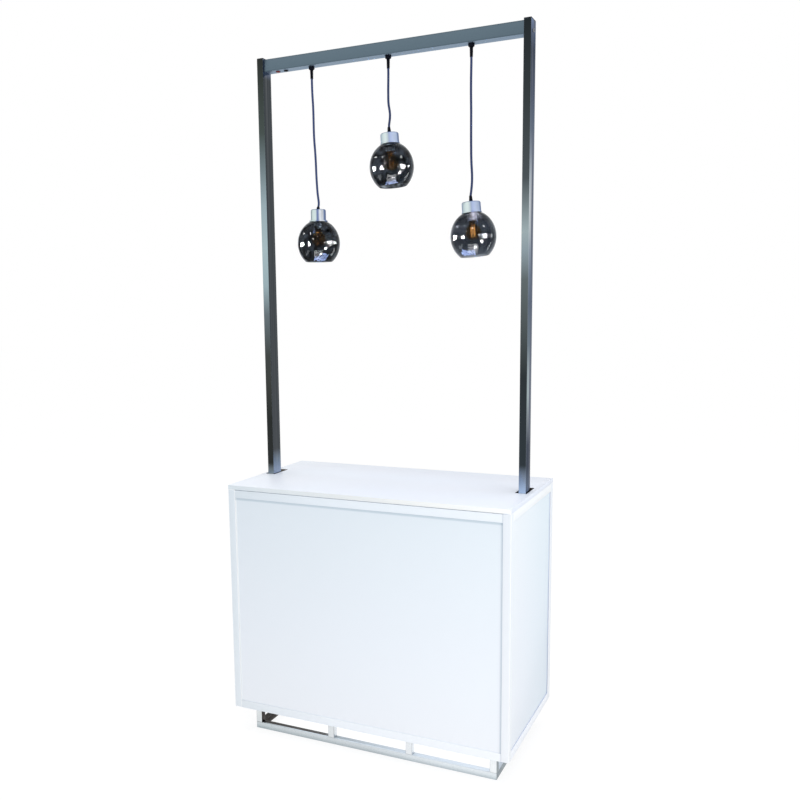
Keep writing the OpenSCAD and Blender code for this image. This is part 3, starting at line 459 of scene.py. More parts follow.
# The counter's materials by name, with what each gives the eye. Real rub marks, press marks and moulded grain
# are finer than half a millimetre. They are drawn as coarse as 0.4 to 2 mm, because finer ones wouldn't show
RECIPES = {
    # Satin chromed steel tube: silver, with soft reflections and fine rub marks along it. Painted shade
    # darkens it towards the floor and towards the base's left end
    "chrome_tube": partial(finish, "Satin chrome tube", "F0F4F7 F8FBFD", 0.25, 0.42, 60, 1.4, 0.002,
        stretch=(12, 12, 1), Metallic=0.8, bands=[
        ("MULTIPLY", 1.0, "Z", 0.0, 0.03, "0 C0C8CC 0.3 D8DEE1 0.55 EAEEF0 0.9 F0F3F5 0.96 FFFFFF"),
        ("MULTIPLY", 1.0, *BASE_X, "0 E8EAE9 0.2 EEEEED 0.5 EEEEEE 0.8 FFFFFF")]),
    # Where the base's tube is rounded: a painted reflection of the dark gap under the counter, darkest
    # towards the left
    "base_edge": partial(finish, "Satin chrome, rounded edge with painted reflection", "8C9294 A0A6A8", 0.25, 0.4, 40, 1.4, 0.002,
        Metallic=1.0, bands=[
        ("MIX", 0.9, *BASE_X, "0 3A3634 0.3 4C4A4A 0.36 98A0A2 1 B4BCC0")]),
    # The rails' top face: a painted reflection of the counter's dark underside, darkest over the left third.
    # On the front rail the front of the face is painted pale, which leaves the painted dark reflection as one
    # line at its back
    "base_top": partial(finish, "Satin chrome, top face with painted reflection", "8C9294 A0A6A8", 0.4, 0.55, 40, 1.4, 0.002,
        Metallic=1.0, bands=[
        ("MIX", 1.0, *BASE_X, "0 3E3A36 0.3 4C4844 0.34 9AA0A2 0.7 C4CACD 1 D8DDE0"),
        ("LIGHTEN", 1.0, "Y", -0.2655, -0.2385, "0 DCE1E4 0.7 D0D6D9 0.8 000000")]),
    # The faces turned to the right at the base's right end: a flat, dull silver, darker than the tube's,
    # which is painted shade
    "base_end": partial(finish, "Satin chrome, end face with painted shade", "8A949A 98A2A8", 0.35, 0.5, 40, 1.4, 0.002,
        Metallic=1.0),
    # The inner face of the left cross rails: a painted reflection of the dark side of the room
    "base_inner": partial(finish, "Satin chrome, inner face with painted reflection", "1A1614 38322E", 0.25, 0.4, 22, 1.4, 0.002,
        Metallic=1.0),
    # The left post's front: painted reflections of a pale part of the room at half its height, between dark
    # ones
    "left_post_front": partial(post_chrome, "Polished chrome, left post's front", "4A5050 6A7472", [
        ("MIX", 0.9, *POST_Z, "0 8E9CA6 0.03 262829 0.14 242624 0.24 3C3E3C 0.3 404442 0.4 6A767C "
            "0.47 A0B6BD 0.56 AFC4CA 0.66 A0B4BB 0.74 7A8A90 0.83 48524F 1 2C2F2C")]),
    # Its side: a painted reflection of the dark side of the room, and at its ends painted reflections of the
    # board and the header
    "left_post_side": partial(post_chrome, "Polished chrome with painted reflections, left post's side", "42494E 485056", [
        ("MIX", 0.85, *POST_Z, "0 A0B0CC 0.035 76869A 0.065 30363C 0.955 32383D 0.968 5C667C 1 687288")]),
    # The right post's front: a painted reflection of the board at its foot, and of a duller pale part above
    "right_post_front": partial(post_chrome, "Polished chrome, right post's front", "3C4244 4C5456", [
        ("MIX", 0.9, *POST_Z, "0 C0D6F2 0.03 8C9CB4 0.065 30383E 0.26 2E3438 0.36 4E5658 0.47 646E70 "
            "0.53 92A2AA 0.57 A4B4B8 0.63 788488 0.68 4C5458 0.85 343A3C 1 20262A")]),
    # Its side: painted reflections of two pale parts of the room, and a painted dark strip all the way up it
    "right_post_side": partial(post_chrome, "Polished chrome with painted reflections, right post's side", "6C7684 7C8694", [
        ("MIX", 0.94, *POST_Z, "0 8494AA 0.06 464E56 0.11 50565E 0.17 A0A8AA 0.22 C8DAD8 0.27 C0CED0 "
            "0.33 86969E 0.42 727E8E 0.48 8A98A8 0.53 AEBAC6 0.58 E0EAEA 0.63 EEF4F6 0.68 D8E2E6 "
            "0.73 A4AEB8 0.78 768392 0.85 5E6878 0.9 565E6A 0.94 424A54 0.97 5C6A80 1 8E9EBC"),
        ("DARKEN", 1.0, "Y", -0.0315, 0.0315, "0 FFFFFF 0.34 FFFFFF 0.56 727A88 0.86 808894 1 FFFFFF")],
            edge="B0B2BA"),
    # Where a tube is rounded: a painted highlight, the pale room as one thin line, with painted reflections
    # over its height
    "post_edge": partial(finish, "Polished chrome with painted reflections, rounded edge", "A4B0BA B6C0CA", 0.1, 0.2, 60, 1.2, 0.004,
        stretch=(1, 1, 30), Metallic=1.0, Specular_Tint="8A929C", bands=[
        ("MIX", 0.7, *POST_Z, "0 8E9AAE 0.1 7A848C 0.22 A8B6BC 0.33 8E9AA4 0.5 A4B2BC 0.6 E0EAEE "
            "0.68 D0DCE2 0.78 98A4AE 0.95 707A84 1 8A96AC")]),
    # Brushed steel: grey with a fine drawn grain along the tube. Painted shade darkens its ends and its lower
    # edge, and a painted highlight runs along its top edge
    "header_steel": partial(finish, "Brushed steel header", "647682 6A7C88", 0.3, 0.45, 90, 0.7, 0.006,
        stretch=(40, 1, 1), Metallic=1.0, bands=[
        ("MULTIPLY", 1.0, *HEADER_X, "0 C4C4C8 0.03 FFFFFF 0.8 F4F4F4 1 C8C8C8"),
        ("MIX", 0.8, *HEADER_Z, "0 52626C 0.12 647682 0.88 687A86 0.95 5C6C76 1 74848E")]),
    # The same steel on its underside: a paler, duller copy, with a painted reflection of the board
    "header_under": partial(finish, "Brushed steel header, underside with painted reflection", "8FA4B9 9BB0C5", 0.5, 0.62, 90, 0.7,
        0.006,
        stretch=(40, 1, 1), Metallic=1.0),
    # Sprayed lacquer: satin white with a very fine orange peel. Painted light makes it a little paler towards
    # the floor and painted shade a little darker towards the left end; it is a touch darker and warmer on the
    # right corner posts
    "white_lacquer": partial(finish, "Sprayed satin lacquer", "lacquer EAF1F8", 0.35, 0.45, 140, 2.2, 0.006,
        Specular_IOR_Level=0.35, bands=[
        ("MIX", 0.8, *FRAME_Z, "0 FAFCFF 0.4 F4F8FC 1 ECF2F8"),
        ("MULTIPLY", 1.0, *FULL_X, "0 F0F3F4 0.4 FDFEFF 0.968 FFFFFF 0.975 FDFCFC 0.998 FDFCFC 1 FFFFFF")]),
    # At the counter's ends: a whiter copy of the lacquer, which is painted light, a touch paler towards the
    # top
    "end_lacquer": partial(finish, "Sprayed satin lacquer, ends with painted light", "lacquer F4F8FC", 0.35, 0.45, 140, 2.2,
        0.006,
        Specular_IOR_Level=0.35, bands=[
        ("MIX", 0.9, *FRAME_Z, "0 F8FAFF 1 FAFDFF")]),
    # The lacquer is thin and glossy where it runs round the frame's edges. A painted highlight makes them
    # shine at the left end, and painted shade of the posts darkens them at the right one
    "frame_edge": partial(finish, "Sprayed lacquer, rounded edge", "F2F6FA FAFCFE", 0.3, 0.4, 140, 2.2, 0.004,
        Specular_IOR_Level=0.4, bands=[
        ("MIX", 1.0, *FULL_X, "0 FFFFFF 0.5 F2F6FB 0.95 E4EAF4 0.965 B8C4D4 0.985 C4CEDC 0.997 FFFFFF")]),
    # High-pressure laminate: white with a fine pebbled press mark, and painted shade that makes it a little
    # darker over the right half
    "white_laminate": partial(finish, "Pressed laminate", "laminate EEF3FC", 0.35, 0.45, 200, 1.4, 0.005,
        Specular_IOR_Level=0.3, bands=[
        ("MULTIPLY", 1.0, *FULL_X, "0 FFFFFF 0.5 F8F9FC 1 F9FAFD")]),
    # Ironed-on edge band: white with a grain finer than the board's, and painted shade that darkens it
    # towards the left end
    "edge_band": partial(finish, "Ironed-on edge band", "F6F8FB F9FAFC", 0.4, 0.5, 200, 1.0, 0.004,
        Specular_IOR_Level=0.3, bands=[
        ("MULTIPLY", 1.0, *FULL_X, "0 E6EEF1 0.45 F0F2F0 0.97 FFFFFB 1 FFFFFF")]),
    # Raw chipboard in the cut slots: brown-grey and coarse. Its darkness is painted shade of the deep slots,
    # lighter in the left slot and darkest in the right one
    "raw_core": partial(finish, "Raw board core with painted shade", "36322F 4A4540", 0.8, 0.95, 6, 1.6, 0.15, bands=[
        ("MIX", 0.8, *FULL_X, "0 86827A 0.3 5A564F 1 2E2B28")]),
    # Cast opal acrylic: milky and smooth. Painted light makes it paler near the floor, where the light comes
    # back up. Beside the frame's lip a painted highlight runs along its left edge, and painted shade along
    # its top, right and lower ones
    "opal_acrylic": partial(opal, "Cast opal acrylic", [
        ("MIX", 0.85, *PANEL_Z, "0 F6F8FC 0.4 EEF3F9 1 E2EBF2"),
        ("LIGHTEN", 1.0, *PANEL_X, "0 F8FCFF 0.005 F8FCFF 0.007 000000"),
        ("MULTIPLY", 1.0, *PANEL_X, "0 FFFFFF 0.995 FFFFFF 0.9965 E2E6EA"),
        ("MULTIPLY", 1.0, *PANEL_Z, "0 F4F7FB 0.003 F4F7FB 0.006 FFFFFF 0.992 FFFFFF 0.995 E6EBEE")]),
    # The same acrylic at the ends: a paler copy, which is painted light, also paler towards the floor, with
    # painted shade from the frame at its rear and lower edges
    "opal_ends": partial(opal, "Cast opal acrylic, end panels with painted light and shade", [
        ("MIX", 0.85, *PANEL_Z, "0 F6FAFF 0.45 F1F6FB 1 EEF4F7"),
        ("MULTIPLY", 1.0, "Y", -0.283, 0.283, "0 FFFFFF 0.2 FCFDFF 0.965 F2FAFF 0.98 DCE4F4"),
        ("MULTIPLY", 1.0, *PANEL_Z, "0 CED8EC 0.004 CED8EC 0.008 FFFFFF")]),
    # Injection-moulded ABS: black with a fine spark-eroded grain
    "black_plastic": partial(finish, "Moulded black ABS", "0A0C0F 0F1114", 0.4, 0.55, 25, 0.6, 0.02,
        Specular_IOR_Level=0.12),
    # Glass-filled nylon: blue-black and dull
    "black_nylon": partial(finish, "Moulded black nylon", "060914 0B0F1C", 0.45, 0.6, 12, 0.6, 0.02,
        Specular_IOR_Level=0.1),
    # Moulded rubber: soft dull black
    "black_rubber": partial(finish, "Moulded rubber", "05070E 090C16", 0.6, 0.75, 12, 0.5, 0.02,
        Specular_IOR_Level=0.08),
    # Moulded nylon of the live terminal: deep red with a slight shine
    "red_plastic": partial(finish, "Moulded red nylon", "7A1512 8E1B16", 0.3, 0.42, 10, 0.6, 0.01),
    # Glossy nylon of the rocker: black, with clear highlights where fingers press it
    "rocker_black": partial(finish, "Moulded glossy nylon", "101113 17181A", 0.22, 0.3, 12, 0.8, 0.006),
    # Zinc-plated steel: silver with a yellow-blue cloud from the plating bath
    "zinc_steel": partial(finish, "Zinc-plated steel", "868A90 94969A", 0.28, 0.45, 9, 0.8, 0.01,
        Metallic=1.0),
    # Cast aluminium with a sand-cast grain
    "cast_aluminium": partial(finish, "Sand-cast aluminium", "8E9194 A0A3A5", 0.45, 0.65, 15, 0.8, 0.06,
        Metallic=1.0),
    # Extruded profile, white coated, under a milky strip
    "light_bar": partial(finish, "Milky light strip", "F2F1E6 F8F6EC", 0.4, 0.5, 40, 1.5, 0.004),
    # Drawn and anodised aluminium: pale grey with a grain along the case
    "driver_case": partial(finish, "Anodised driver case", "B4B6B8 C2C4C6", 0.35, 0.5, 30, 0.6, 0.006,
        stretch=(20, 1, 1), Metallic=1.0),
    # Powder coat: grey with the dimpled skin of baked powder
    "box_grey": partial(finish, "Grey powder coat", "6C7074 74787C", 0.45, 0.6, 60, 1.6, 0.03),
    # Extruded cable sheath: black and slightly uneven
    "cable_black": partial(finish, "Extruded cable sheath", "17181A 1F2022", 0.45, 0.6, 30, 1.0, 0.01),
    # Extruded rubber jacket: dark navy, a little dusty, with faint draw lines along it
    "cord_jacket": partial(finish, "Extruded rubber jacket", "jacket 3E4A70", 0.5, 0.65, 60, 0.9, 0.02,
        stretch=(1, 1, 25), Specular_IOR_Level=0.1),
    # The left cup is narrower, with painted reflections of the dark side of the room along both of its edges
    "cup_left": partial(spun_chrome, "Spun chromed cup with painted reflections, left",
        "0 5E7098 0.07 4A5C84 0.3 C8D4E0 0.55 7688A4 0.61 B4C4CE 0.66 DCEEEA 0.775 D6E6E6 0.795 6E80B0 "
        "0.825 6E80B0 0.85 E6EDF5 0.93 EEF3F9 0.96 7088B4 1 5E7098"),
    # The other two carry painted reflections of the pale room in the middle and of one blue-grey strip beside
    # it
    "cup_chrome": partial(spun_chrome, "Spun chromed cup with painted reflections",
        "0 7484A4 0.07 5E6E90 0.3 C8D4E0 0.55 7E8EAA 0.6 A4B4C6 0.64 D4E6E8 0.74 E2F0EE 0.775 C8D6DC "
        "0.8 A4B4D4 0.825 B4C4EA 0.9 CCDAF4 0.945 B8C8E4 0.975 8292B4 1 7484A4"),
    # Glazed porcelain: white, glossy, with a hint of pooled glaze
    "holder_white": partial(finish, "Glazed porcelain", "E9EAE6 F1F1EE", 0.12, 0.2, 12, 6, 0.02,
        Coat_Weight=0.4,
        Coat_Roughness=0.04),
    # Clear smoke right through, so the bulb shows and the rim is darkest
    "smoked_glass": partial(smoked_glass, "Blown smoked glass"),
    # The right globe took less smoke on one side of its neck, so the lampholder shows there
    "smoked_glass_right": partial(smoked_glass, "Blown smoked glass, clear at its neck", [
        ("MIX", 1.0, *ALONG, "0 F6F4FC 0.13 E6E4F0 0.17 000000 0.83 000000 0.87 E6E4F0 1 F6F4FC"),
        ("MULTIPLY", 1.0, *ROUND, "0 000000 0.72 000000 0.78 B8B4B0 0.81 FFFFFF 0.88 FFFFFF 0.92 000000 "
            "1 000000"),
        ("LIGHTEN", 1.0, *ALONG, "0 5A6068 0.12 464C52 0.2 8E959E 0.32 70767E 0.45 9AA0A8 0.7 5C626A "
            "1 8C929A")]),
    # Blown glass under a thin amber lacquer, which pools a little
    "amber_glass": partial(finish, "Lacquered amber glass", "amber EFC58A", 0.0, 0.02, 20, 15, 0.05,
        Transmission_Weight=1.0, IOR=1.3),
    # Turned brass: yellow metal with fine turning marks round it
    "bulb_brass": partial(finish, "Turned brass cap", "B08C4A C19A52", 0.25, 0.4, 8, 0.5, 0.01, Metallic=1.0),
    # Tungsten wire, coiled and glowing
    "filament": partial(finish, "Glowing tungsten coil", "D5A064 E3AC6C", 0.5, 0.6, 3, 0.4, 0.0,
        glow=1.0, Emission_Color="F0C896"),
    # The same wire where it only just glows
    "filament_faint": partial(finish, "Faint tungsten coil", "D5A064 E3AC6C", 0.5, 0.6, 3, 0.4, 0.0,
        glow=0.08, Emission_Color="E0B48A"),
}


class CounterOperator:
    """What the counter's operators share."""

    bl_options = {"REGISTER", "UNDO"}

    def execute(self, context):
        self.make(context.scene.counter_sizes)
        return {"FINISHED"}


# The camera's sensor, how far its picture is shifted, in widths, and what it holds level
SENSOR_W = 36
CAMERA_SHIFT = (0.0625, 0.0375)
CAMERA_RIGHT = Vector((0.9000, 0.4357, -0.0149))


class COUNTER_OT_camera(CounterOperator, bpy.types.Operator):
    """Stands the camera where the guests look from"""

    bl_idname = "counter.camera"
    bl_label = "Camera"

    def make(self, sizes):
        view = bpy.context.scene.counter_view
        data = bpy.data.cameras.new("Camera")
        data.lens, data.sensor_width = view.lens, SENSOR_W
        data.shift_x, data.shift_y = CAMERA_SHIFT
        data.clip_end = 100
        camera = bpy.data.objects.new("Camera", data)
        forward = Vector(view.aim).normalized()
        right = (CAMERA_RIGHT - forward * forward.dot(CAMERA_RIGHT)).normalized()
        turn = Matrix((right, right.cross(forward), -forward)).transposed()
        camera.matrix_world = Matrix.Translation(view.place) @ turn.to_4x4()
        bpy.context.scene.collection.objects.link(camera)
        bpy.context.scene.camera = camera


class COUNTER_OT_cords(CounterOperator, bpy.types.Operator):
    """Hangs the three pendant cords"""

    bl_idname = "counter.cords"
    bl_label = "Cords"

    def make(self, sizes):
        for side in SIDES:
            path = curve_through(cord_path(side))
            tube = swept(path, CORD_D / 2, 24)
            cord = piece(f"{side}_cord_jacket", f"{side}_cord", [tube], "cord_jacket", body=f"{side}_lamp")


class COUNTER_OT_base(CounterOperator, bpy.types.Operator):
    """Makes the chrome tube base"""

    bl_idname = "counter.base"
    bl_label = "Base"

    def make(self, sizes):
        def side_of(face):
            """The face's material: 2, a painted reflection, inside the left end; 4, painted shade, on the
            right end; 3, a painted reflection, on a bottom rail's top face.
            """
            middle, normal = face.calc_center_median(), face.normal
            if normal.x > 0.5:
                return 2 if middle.x < -0.4 else 4 if middle.x > 0.5 else 0
            return 3 if normal.z > 0.5 and middle.z < 0.05 else 0

        metals = "chrome_tube base_edge base_inner base_top base_end"
        for node in ("base_long_rails", "base_cross_rails", "base_uprights"):
            eased(node, sizes.tube_edge, metals, steps=3, number=side_of,
                  edge_number=-1 if node == "base_long_rails" else 1)


class COUNTER_OT_frame(CounterOperator, bpy.types.Operator):
    """Makes the lacquered frame"""

    bl_idname = "counter.frame"
    bl_label = "Frame"

    def make(self, sizes):
        eased("corner_posts", sizes.frame_edge, "white_lacquer frame_edge", steps=3, edge_number=1)
        eased("long_rails", sizes.board_edge, "white_lacquer")
        eased("side_rails", sizes.board_edge, "end_lacquer")


class COUNTER_OT_panels(CounterOperator, bpy.types.Operator):
    """Makes the opal panels"""

    bl_idname = "counter.panels"
    bl_label = "Panels"

    def make(self, sizes):
        eased("front_panel", sizes.small_edge, "opal_acrylic")
        for node in ("left_panel", "right_panel"):
            eased(node, sizes.small_edge, "opal_ends")


# A shelf pin, and where its inner end is
PIN_R, PIN_L, PIN_EDGE, PIN_X = 0.004, 0.022, 0.0007, 0.501


class COUNTER_OT_boards(CounterOperator, bpy.types.Operator):
    """Makes the top board and the boards inside, with the shelf's pins"""

    bl_idname = "counter.boards"
    bl_label = "Boards"

    def make(self, sizes):
        for node in ("floor_board", "front_reflector", "side_liners", "shelf"):
            eased(node, sizes.board_edge, "white_laminate")

        def cut_of(face):
            """The face's material: 2 on the front edge, 1 in the cut slots."""
            middle = face.calc_center_median()
            if face.normal.y < -0.5 and middle.y < -0.3:
                return 2
            return int(abs(face.normal.z) < 0.5 and abs(middle.x) < 0.599 and abs(middle.y) < 0.2)

        eased("top_board", sizes.board_edge, "white_laminate raw_core edge_band", number=cut_of)
        low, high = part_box("shelf_pins")
        ys, z = (low[1] + PIN_R, high[1] - PIN_R), (low[2] + high[2]) / 2
        pin = turned(rounded([[0, 0], [PIN_R, 0], [PIN_R, PIN_L], [0, PIN_L]], PIN_EDGE), 32)
        pins = [placed(pin, (end * PIN_X, y, z), (end, 0, 0)) for end in (-1, 1) for y in ys]
        piece("shelf_pins_turned", "shelf_pins", pins, "zinc_steel")


# A terminal: its foot, the collar with the knurls and the shank above
FOOT_R, FOOT_H, COLLAR_H, SHANK_R = 0.0062, 0.0008, 0.004, 0.004
KNURLS, KNURL_DEPTH = 24, 0.0005


class COUNTER_OT_gantry(CounterOperator, bpy.types.Operator):
    """Makes the posts, their caps, the header and its terminals"""

    bl_idname = "counter.gantry"
    bl_label = "Gantry"

    def make(self, sizes):
        for node in ("left_post", "right_post"):
            eased(node, sizes.post_edge, f"{node}_front {node}_side post_edge", steps=4,
                  number=lambda face: int(abs(face.normal.x) > 0.7), edge_number=2)
        eased("header", sizes.tube_edge, "header_steel header_under", steps=3,
              number=lambda face: int(face.normal.z < -0.7))
        eased("post_caps", sizes.board_edge, "black_plastic")
        eased("header_end_blocks", sizes.board_edge, "cast_aluminium")
        for node, plastic in (("red_terminal", "red_plastic"), ("black_terminal", "black_plastic")):
            low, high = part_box(node)
            r, h = (high[0] - low[0]) / 2, high[2] - low[2]
            profile = rounded([[0, 0], [FOOT_R, 0], [FOOT_R, FOOT_H], [r, FOOT_H], [r, COLLAR_H],
                               [SHANK_R, COLLAR_H], [SHANK_R, h], [0, h]], 0.0005)
            collar = profile[:, :1] > 0.99 * r
            grid = turned(profile, 192, collar * -waves(KNURLS, KNURL_DEPTH, 192))
            grid = placed(grid, ((low[0] + high[0]) / 2, 0, low[2]))
            piece(node + "_knurled", node, [grid], plastic)


def screw(d, head_d, head_h, length):
    """A pan-head screw with a hexagon socket on z = 0: a turned profile whose socket rows follow a
    hexagon."""
    head, shank, key = head_d / 2, d / 2, 0.26 * head_d
    profile = np.array([
        [0, head_h * 0.35], [key, head_h * 0.35], [key, head_h * 0.97], [key + 0.1 * head_d, head_h],
        [head * 0.82, head_h * 0.93], [head * 0.96, head_h * 0.6], [head, head_h * 0.2], [head, 0],
        [shank, 0], [shank, -length + 0.1 * d], [shank * 0.8, -length], [0, -length],
    ])
    socket = np.zeros((len(profile), 1))
    socket[1:3] = key
    return turned(profile, 48, socket * (hexagon(48) - 1))


# Screws: diameter, head's diameter, head's height and length, and where the head's seat is at the right rear
HEADER_BOLT, BOLT_AT = (0.008, 0.013, 0.003, 0.051), (0.576, 0, 2.782)
SHOE_SCREW, SHOE_AT = (0.005, 0.010, 0.003, 0.015), (0.562, 0.0442, 0.132)
STRAP_SCREW, STRAP_AT = (0.005, 0.010, 0.003, 0.014), (0.577, 0.0457, 1.040)


class COUNTER_OT_mounts(CounterOperator, bpy.types.Operator):
    """Makes the posts' shoes and straps and all the screws"""

    bl_idname = "counter.mounts"
    bl_label = "Mounts"

    def make(self, sizes):
        eased("post_shoes", sizes.board_edge, "zinc_steel")
        eased("post_straps", sizes.small_edge, "zinc_steel")
        bolt, shoe_screw, strap_screw = screw(*HEADER_BOLT), screw(*SHOE_SCREW), screw(*STRAP_SCREW)
        screws = []
        for end in (-1, 1):
            screws.append(placed(bolt, np.multiply(BOLT_AT, (end, 1, 1)), (end, 0, 0)))
            for way in (-1, 1):
                screws.append(placed(shoe_screw, np.multiply(SHOE_AT, (end, way, 1))))
                screws.append(placed(strap_screw, np.multiply(STRAP_AT, (end, way, 1)), (-end, 0, 0)))
        piece("fasteners_turned", "fasteners", screws, "zinc_steel")


# In millimetres: the gland's ball seat and its mouth, the ball in it, and the sleeve with its ribs
SEAT_R, SEAT_MOUTH, BALL_R, BALL_TURN = 7.8, 4, 7.5, 2.12
SLEEVE_R, SLEEVE_TAPER, SLEEVE_L, SLEEVE_MOUTH = 6.5, 0.8, 36, 5.2
RIB_DEPTH, RIB_PITCH = 0.25, 3.4
# In metres: the corner radii of the gland's hexagon and of the locknut's, the flutes and the locknut's height
GLAND_HEX_R, NUT_HEX_R, NUT_Z = 0.0126, 0.0125, 2.7705
FLUTES, FLUTE_DEPTH = 16, 0.0005


class COUNTER_OT_glands(CounterOperator, bpy.types.Operator):
    """Makes the cord glands, their locknuts and the strain reliefs"""

    bl_idname = "counter.glands"
    bl_label = "Glands"

    def make(self, sizes):
        seat = np.linspace(0, math.acos(SEAT_MOUTH / SEAT_R), 8)
        inner = SEAT_R * np.c_[np.cos(seat), np.sin(seat)]
        outer = rounded([[4, 24.5], [9, 24.5], [9, 12], [12.6, 12], [12.6, 7.6], [11.8, 7], [12.4, 6.2],
                         [11.8, 2], [9.8, 0], [8.2, 0]], 0.7)
        profile = np.concatenate([inner, outer]) * MM
        r, z = profile[:, :1], profile[:, 1:]
        hexed = (z > 0.0071) & (z < 0.0121) & (r > 0.0115)
        fluted = (z > 0.0012) & (z < 0.0068) & (r > 0.0105)
        swell = hexed * GLAND_HEX_R * (hexagon(96) - 0.97) - fluted * waves(FLUTES, FLUTE_DEPTH, 96)
        glands = [placed(turned(profile, 96, swell), (x, 0, GLAND_Z)) for x in GLAND_X.values()]
        piece("glands_moulded", "glands", glands, "black_nylon", closed=True)

        ring = rounded([[9.2, 2.5], [9.2, 0], [12.5, 0], [12.5, 5], [9.2, 5], [9.2, 2.5]], 0.5) * MM
        swell = (ring[:, :1] > 0.0115) * NUT_HEX_R * (hexagon(96) - 1)
        nuts = [placed(turned(ring, 96, swell), (x, 0, NUT_Z)) for x in GLAND_X.values()]
        piece("gland_locknuts_moulded", "gland_locknuts", nuts, "black_nylon", closed=True)

        turn = np.linspace(0, 1, 12) * BALL_TURN
        ball = BALL_R * np.c_[np.sin(turn), np.cos(turn)]
        depth = np.linspace(5, 35.3, 120)
        ribs = RIB_DEPTH * np.cos(depth * 2 * np.pi / RIB_PITCH)
        sleeve = np.c_[SLEEVE_R - depth * SLEEVE_TAPER / SLEEVE_L + ribs, -depth]
        seat = np.linspace(0, math.pi / 2, 8)
        mouth = np.c_[SLEEVE_MOUTH * np.cos(seat), SLEEVE_MOUTH * np.sin(seat) - SLEEVE_L]
        profile = np.concatenate([ball, sleeve, [[SLEEVE_MOUTH + 0.4, -SLEEVE_L]], mouth]) * MM
        for side in SIDES:
            grid = placed(turned(profile, 48), (GLAND_X[side], 0, GLAND_Z))
            piece(f"{side}_tail_ribbed", f"{side}_tail", [grid], "black_rubber", body=f"{side}_swivel")


# The cord grip's radii and ribs, the lampholder's flange, thread and bore, and the shade ring's grips
GRIP_R, GRIP_TAPER, GRIP_TOP_R, GRIP_FOOT_R = 0.0079, 0.0021, 0.0052, 0.0074
GRIP_RIB, GRIP_PITCH = 0.00035, 0.0036
FLANGE_R, FLANGE_H, THREAD_H, THREAD_PITCH = 0.025, 0.003, 0.0003, 0.0025
BORE_R, BORE_DEPTH = 0.0136, 0.028
RING_H, RING_GRIPS, RING_GRIP_DEPTH = 0.008, 30, 0.0006


class COUNTER_OT_cups(CounterOperator, bpy.types.Operator):
    """Makes the lamps' cord grips, cover cups, lampholders and shade rings"""

    bl_idname = "counter.cups"
    bl_label = "Cups"

    def make(self, sizes):
        for side in SIDES:
            self.make_grip(side)
            self.make_cup(side)
            self.make_holder(side)
            self.make_ring(side)

    def make_grip(self, side):
        """A cone with ribs round its upper part."""
        h = GRIP_H[side]
        up = np.linspace(0.0008, h - 0.0008, 60)
        ribs = GRIP_RIB * np.cos(up * 2 * np.pi / GRIP_PITCH) * (up > 0.3 * h)
        skin = np.c_[GRIP_R - GRIP_TAPER * up / h + ribs - 0.0003, up]
        profile = np.concatenate([[[0, 0], [GRIP_FOOT_R, 0]], skin, [[GRIP_TOP_R, h], [0, h]]])
        lamp_piece(side, "grip", "moulded", turned(profile, 48), "black_nylon")

    def make_cup(self, side):
        """A thin spun cup with a lip, open at its foot."""
        h, r, lip, wall = CUP_H[side], CUP_R[side], CUP_LIP, CUP_WALL
        outer = rounded([[0, 0], [r, 0], [r, -h + 0.005], [lip, -h + 0.0045], [lip, -h], [lip - wall, -h]],
                        [0.007, 0.0015, 0.0012, 0.0006])
        inner = rounded([[lip - wall, -h], [lip - wall, -h + 0.0035], [r - wall, -h + 0.004],
                         [r - wall, -wall], [0, -wall]], [0.0008, 0.001, 0.006])
        profile = np.concatenate([outer, inner[1:]])
        chrome = "cup_left" if side == "left" else "cup_chrome"
        lamp_piece(side, "cup", "spun", turned(profile, 96), chrome)

    def make_holder(self, side):
        """A skirt with a flange that the globe's neck rests under, a thread below it and a bore for the
        bulb."""
        r, foot = HOLDER_R, -CUP_H[side] - HOLDER_DROP
        flange = globe_height(NECK_R) + FIT - globe_drop(side)
        top, end = flange + FLANGE_H, foot + BORE_DEPTH
        skirt = rounded([[0, -0.0016], [r, -0.0016], [r, top], [FLANGE_R, top], [FLANGE_R, flange],
                         [r, flange]], 0.0012)
        down = np.linspace(flange - 0.001, foot + 0.002, 60)
        thread = np.c_[r - THREAD_H + THREAD_H * np.cos(down * 2 * np.pi / THREAD_PITCH), down]
        bore = rounded([[0.0188, foot], [BORE_R, foot], [BORE_R, end], [0, end]], 0.001)
        profile = np.concatenate([skirt, thread, bore])
        lamp_piece(side, "holder", "glazed", turned(profile), "holder_white")

    def make_ring(self, side):
        """A ring on the thread with 30 grips round it, right under the glass."""
        r, top = RING_BORE, globe_height(RING_R, GLASS_T) - FIT - globe_drop(side)
        middle, foot = top - RING_H / 2, top - RING_H
        ring = rounded([[r, middle], [r, top], [RING_R, top], [RING_R, foot], [r, foot], [r, middle]], 0.0009)
        grid = turned(ring, 240, (ring[:, :1] > 0.0262) * -waves(RING_GRIPS, RING_GRIP_DEPTH, 240))
        lamp_piece(side, "shade_ring", "ribbed", grid, "holder_white", closed=True)


class COUNTER_OT_globes(CounterOperator, bpy.types.Operator):
    """Blows the three smoked glass globes"""

    bl_idname = "counter.globes"
    bl_label = "Globes"

    def make(self, sizes):
        outer = belly(GLOBE_R, GLOBE_B, NECK_R, MOUTH_R)
        inner = belly(GLOBE_R - GLASS_T, GLOBE_B - GLASS_T, NECK_R, MOUTH_R - GLASS_T / 2)[::-1]
        t = np.linspace(0, math.pi, 8)[1:-1, None]
        middle, half = (outer[-1] + inner[0]) / 2, (outer[-1] - inner[0]) / 2
        down = np.array([-half[1], half[0]]) * (-1 if half[0] > 0 else 1)
        lip = middle + half * np.cos(t) + down * np.sin(t)
        profile = np.concatenate([outer, lip, inner])
        for side in SIDES:
            glass = "smoked_glass_right" if side == "right" else "smoked_glass"
            lamp_piece(side, "globe", "blown", turned(profile, 128), glass,
                       drop=globe_drop(side), closed=True)


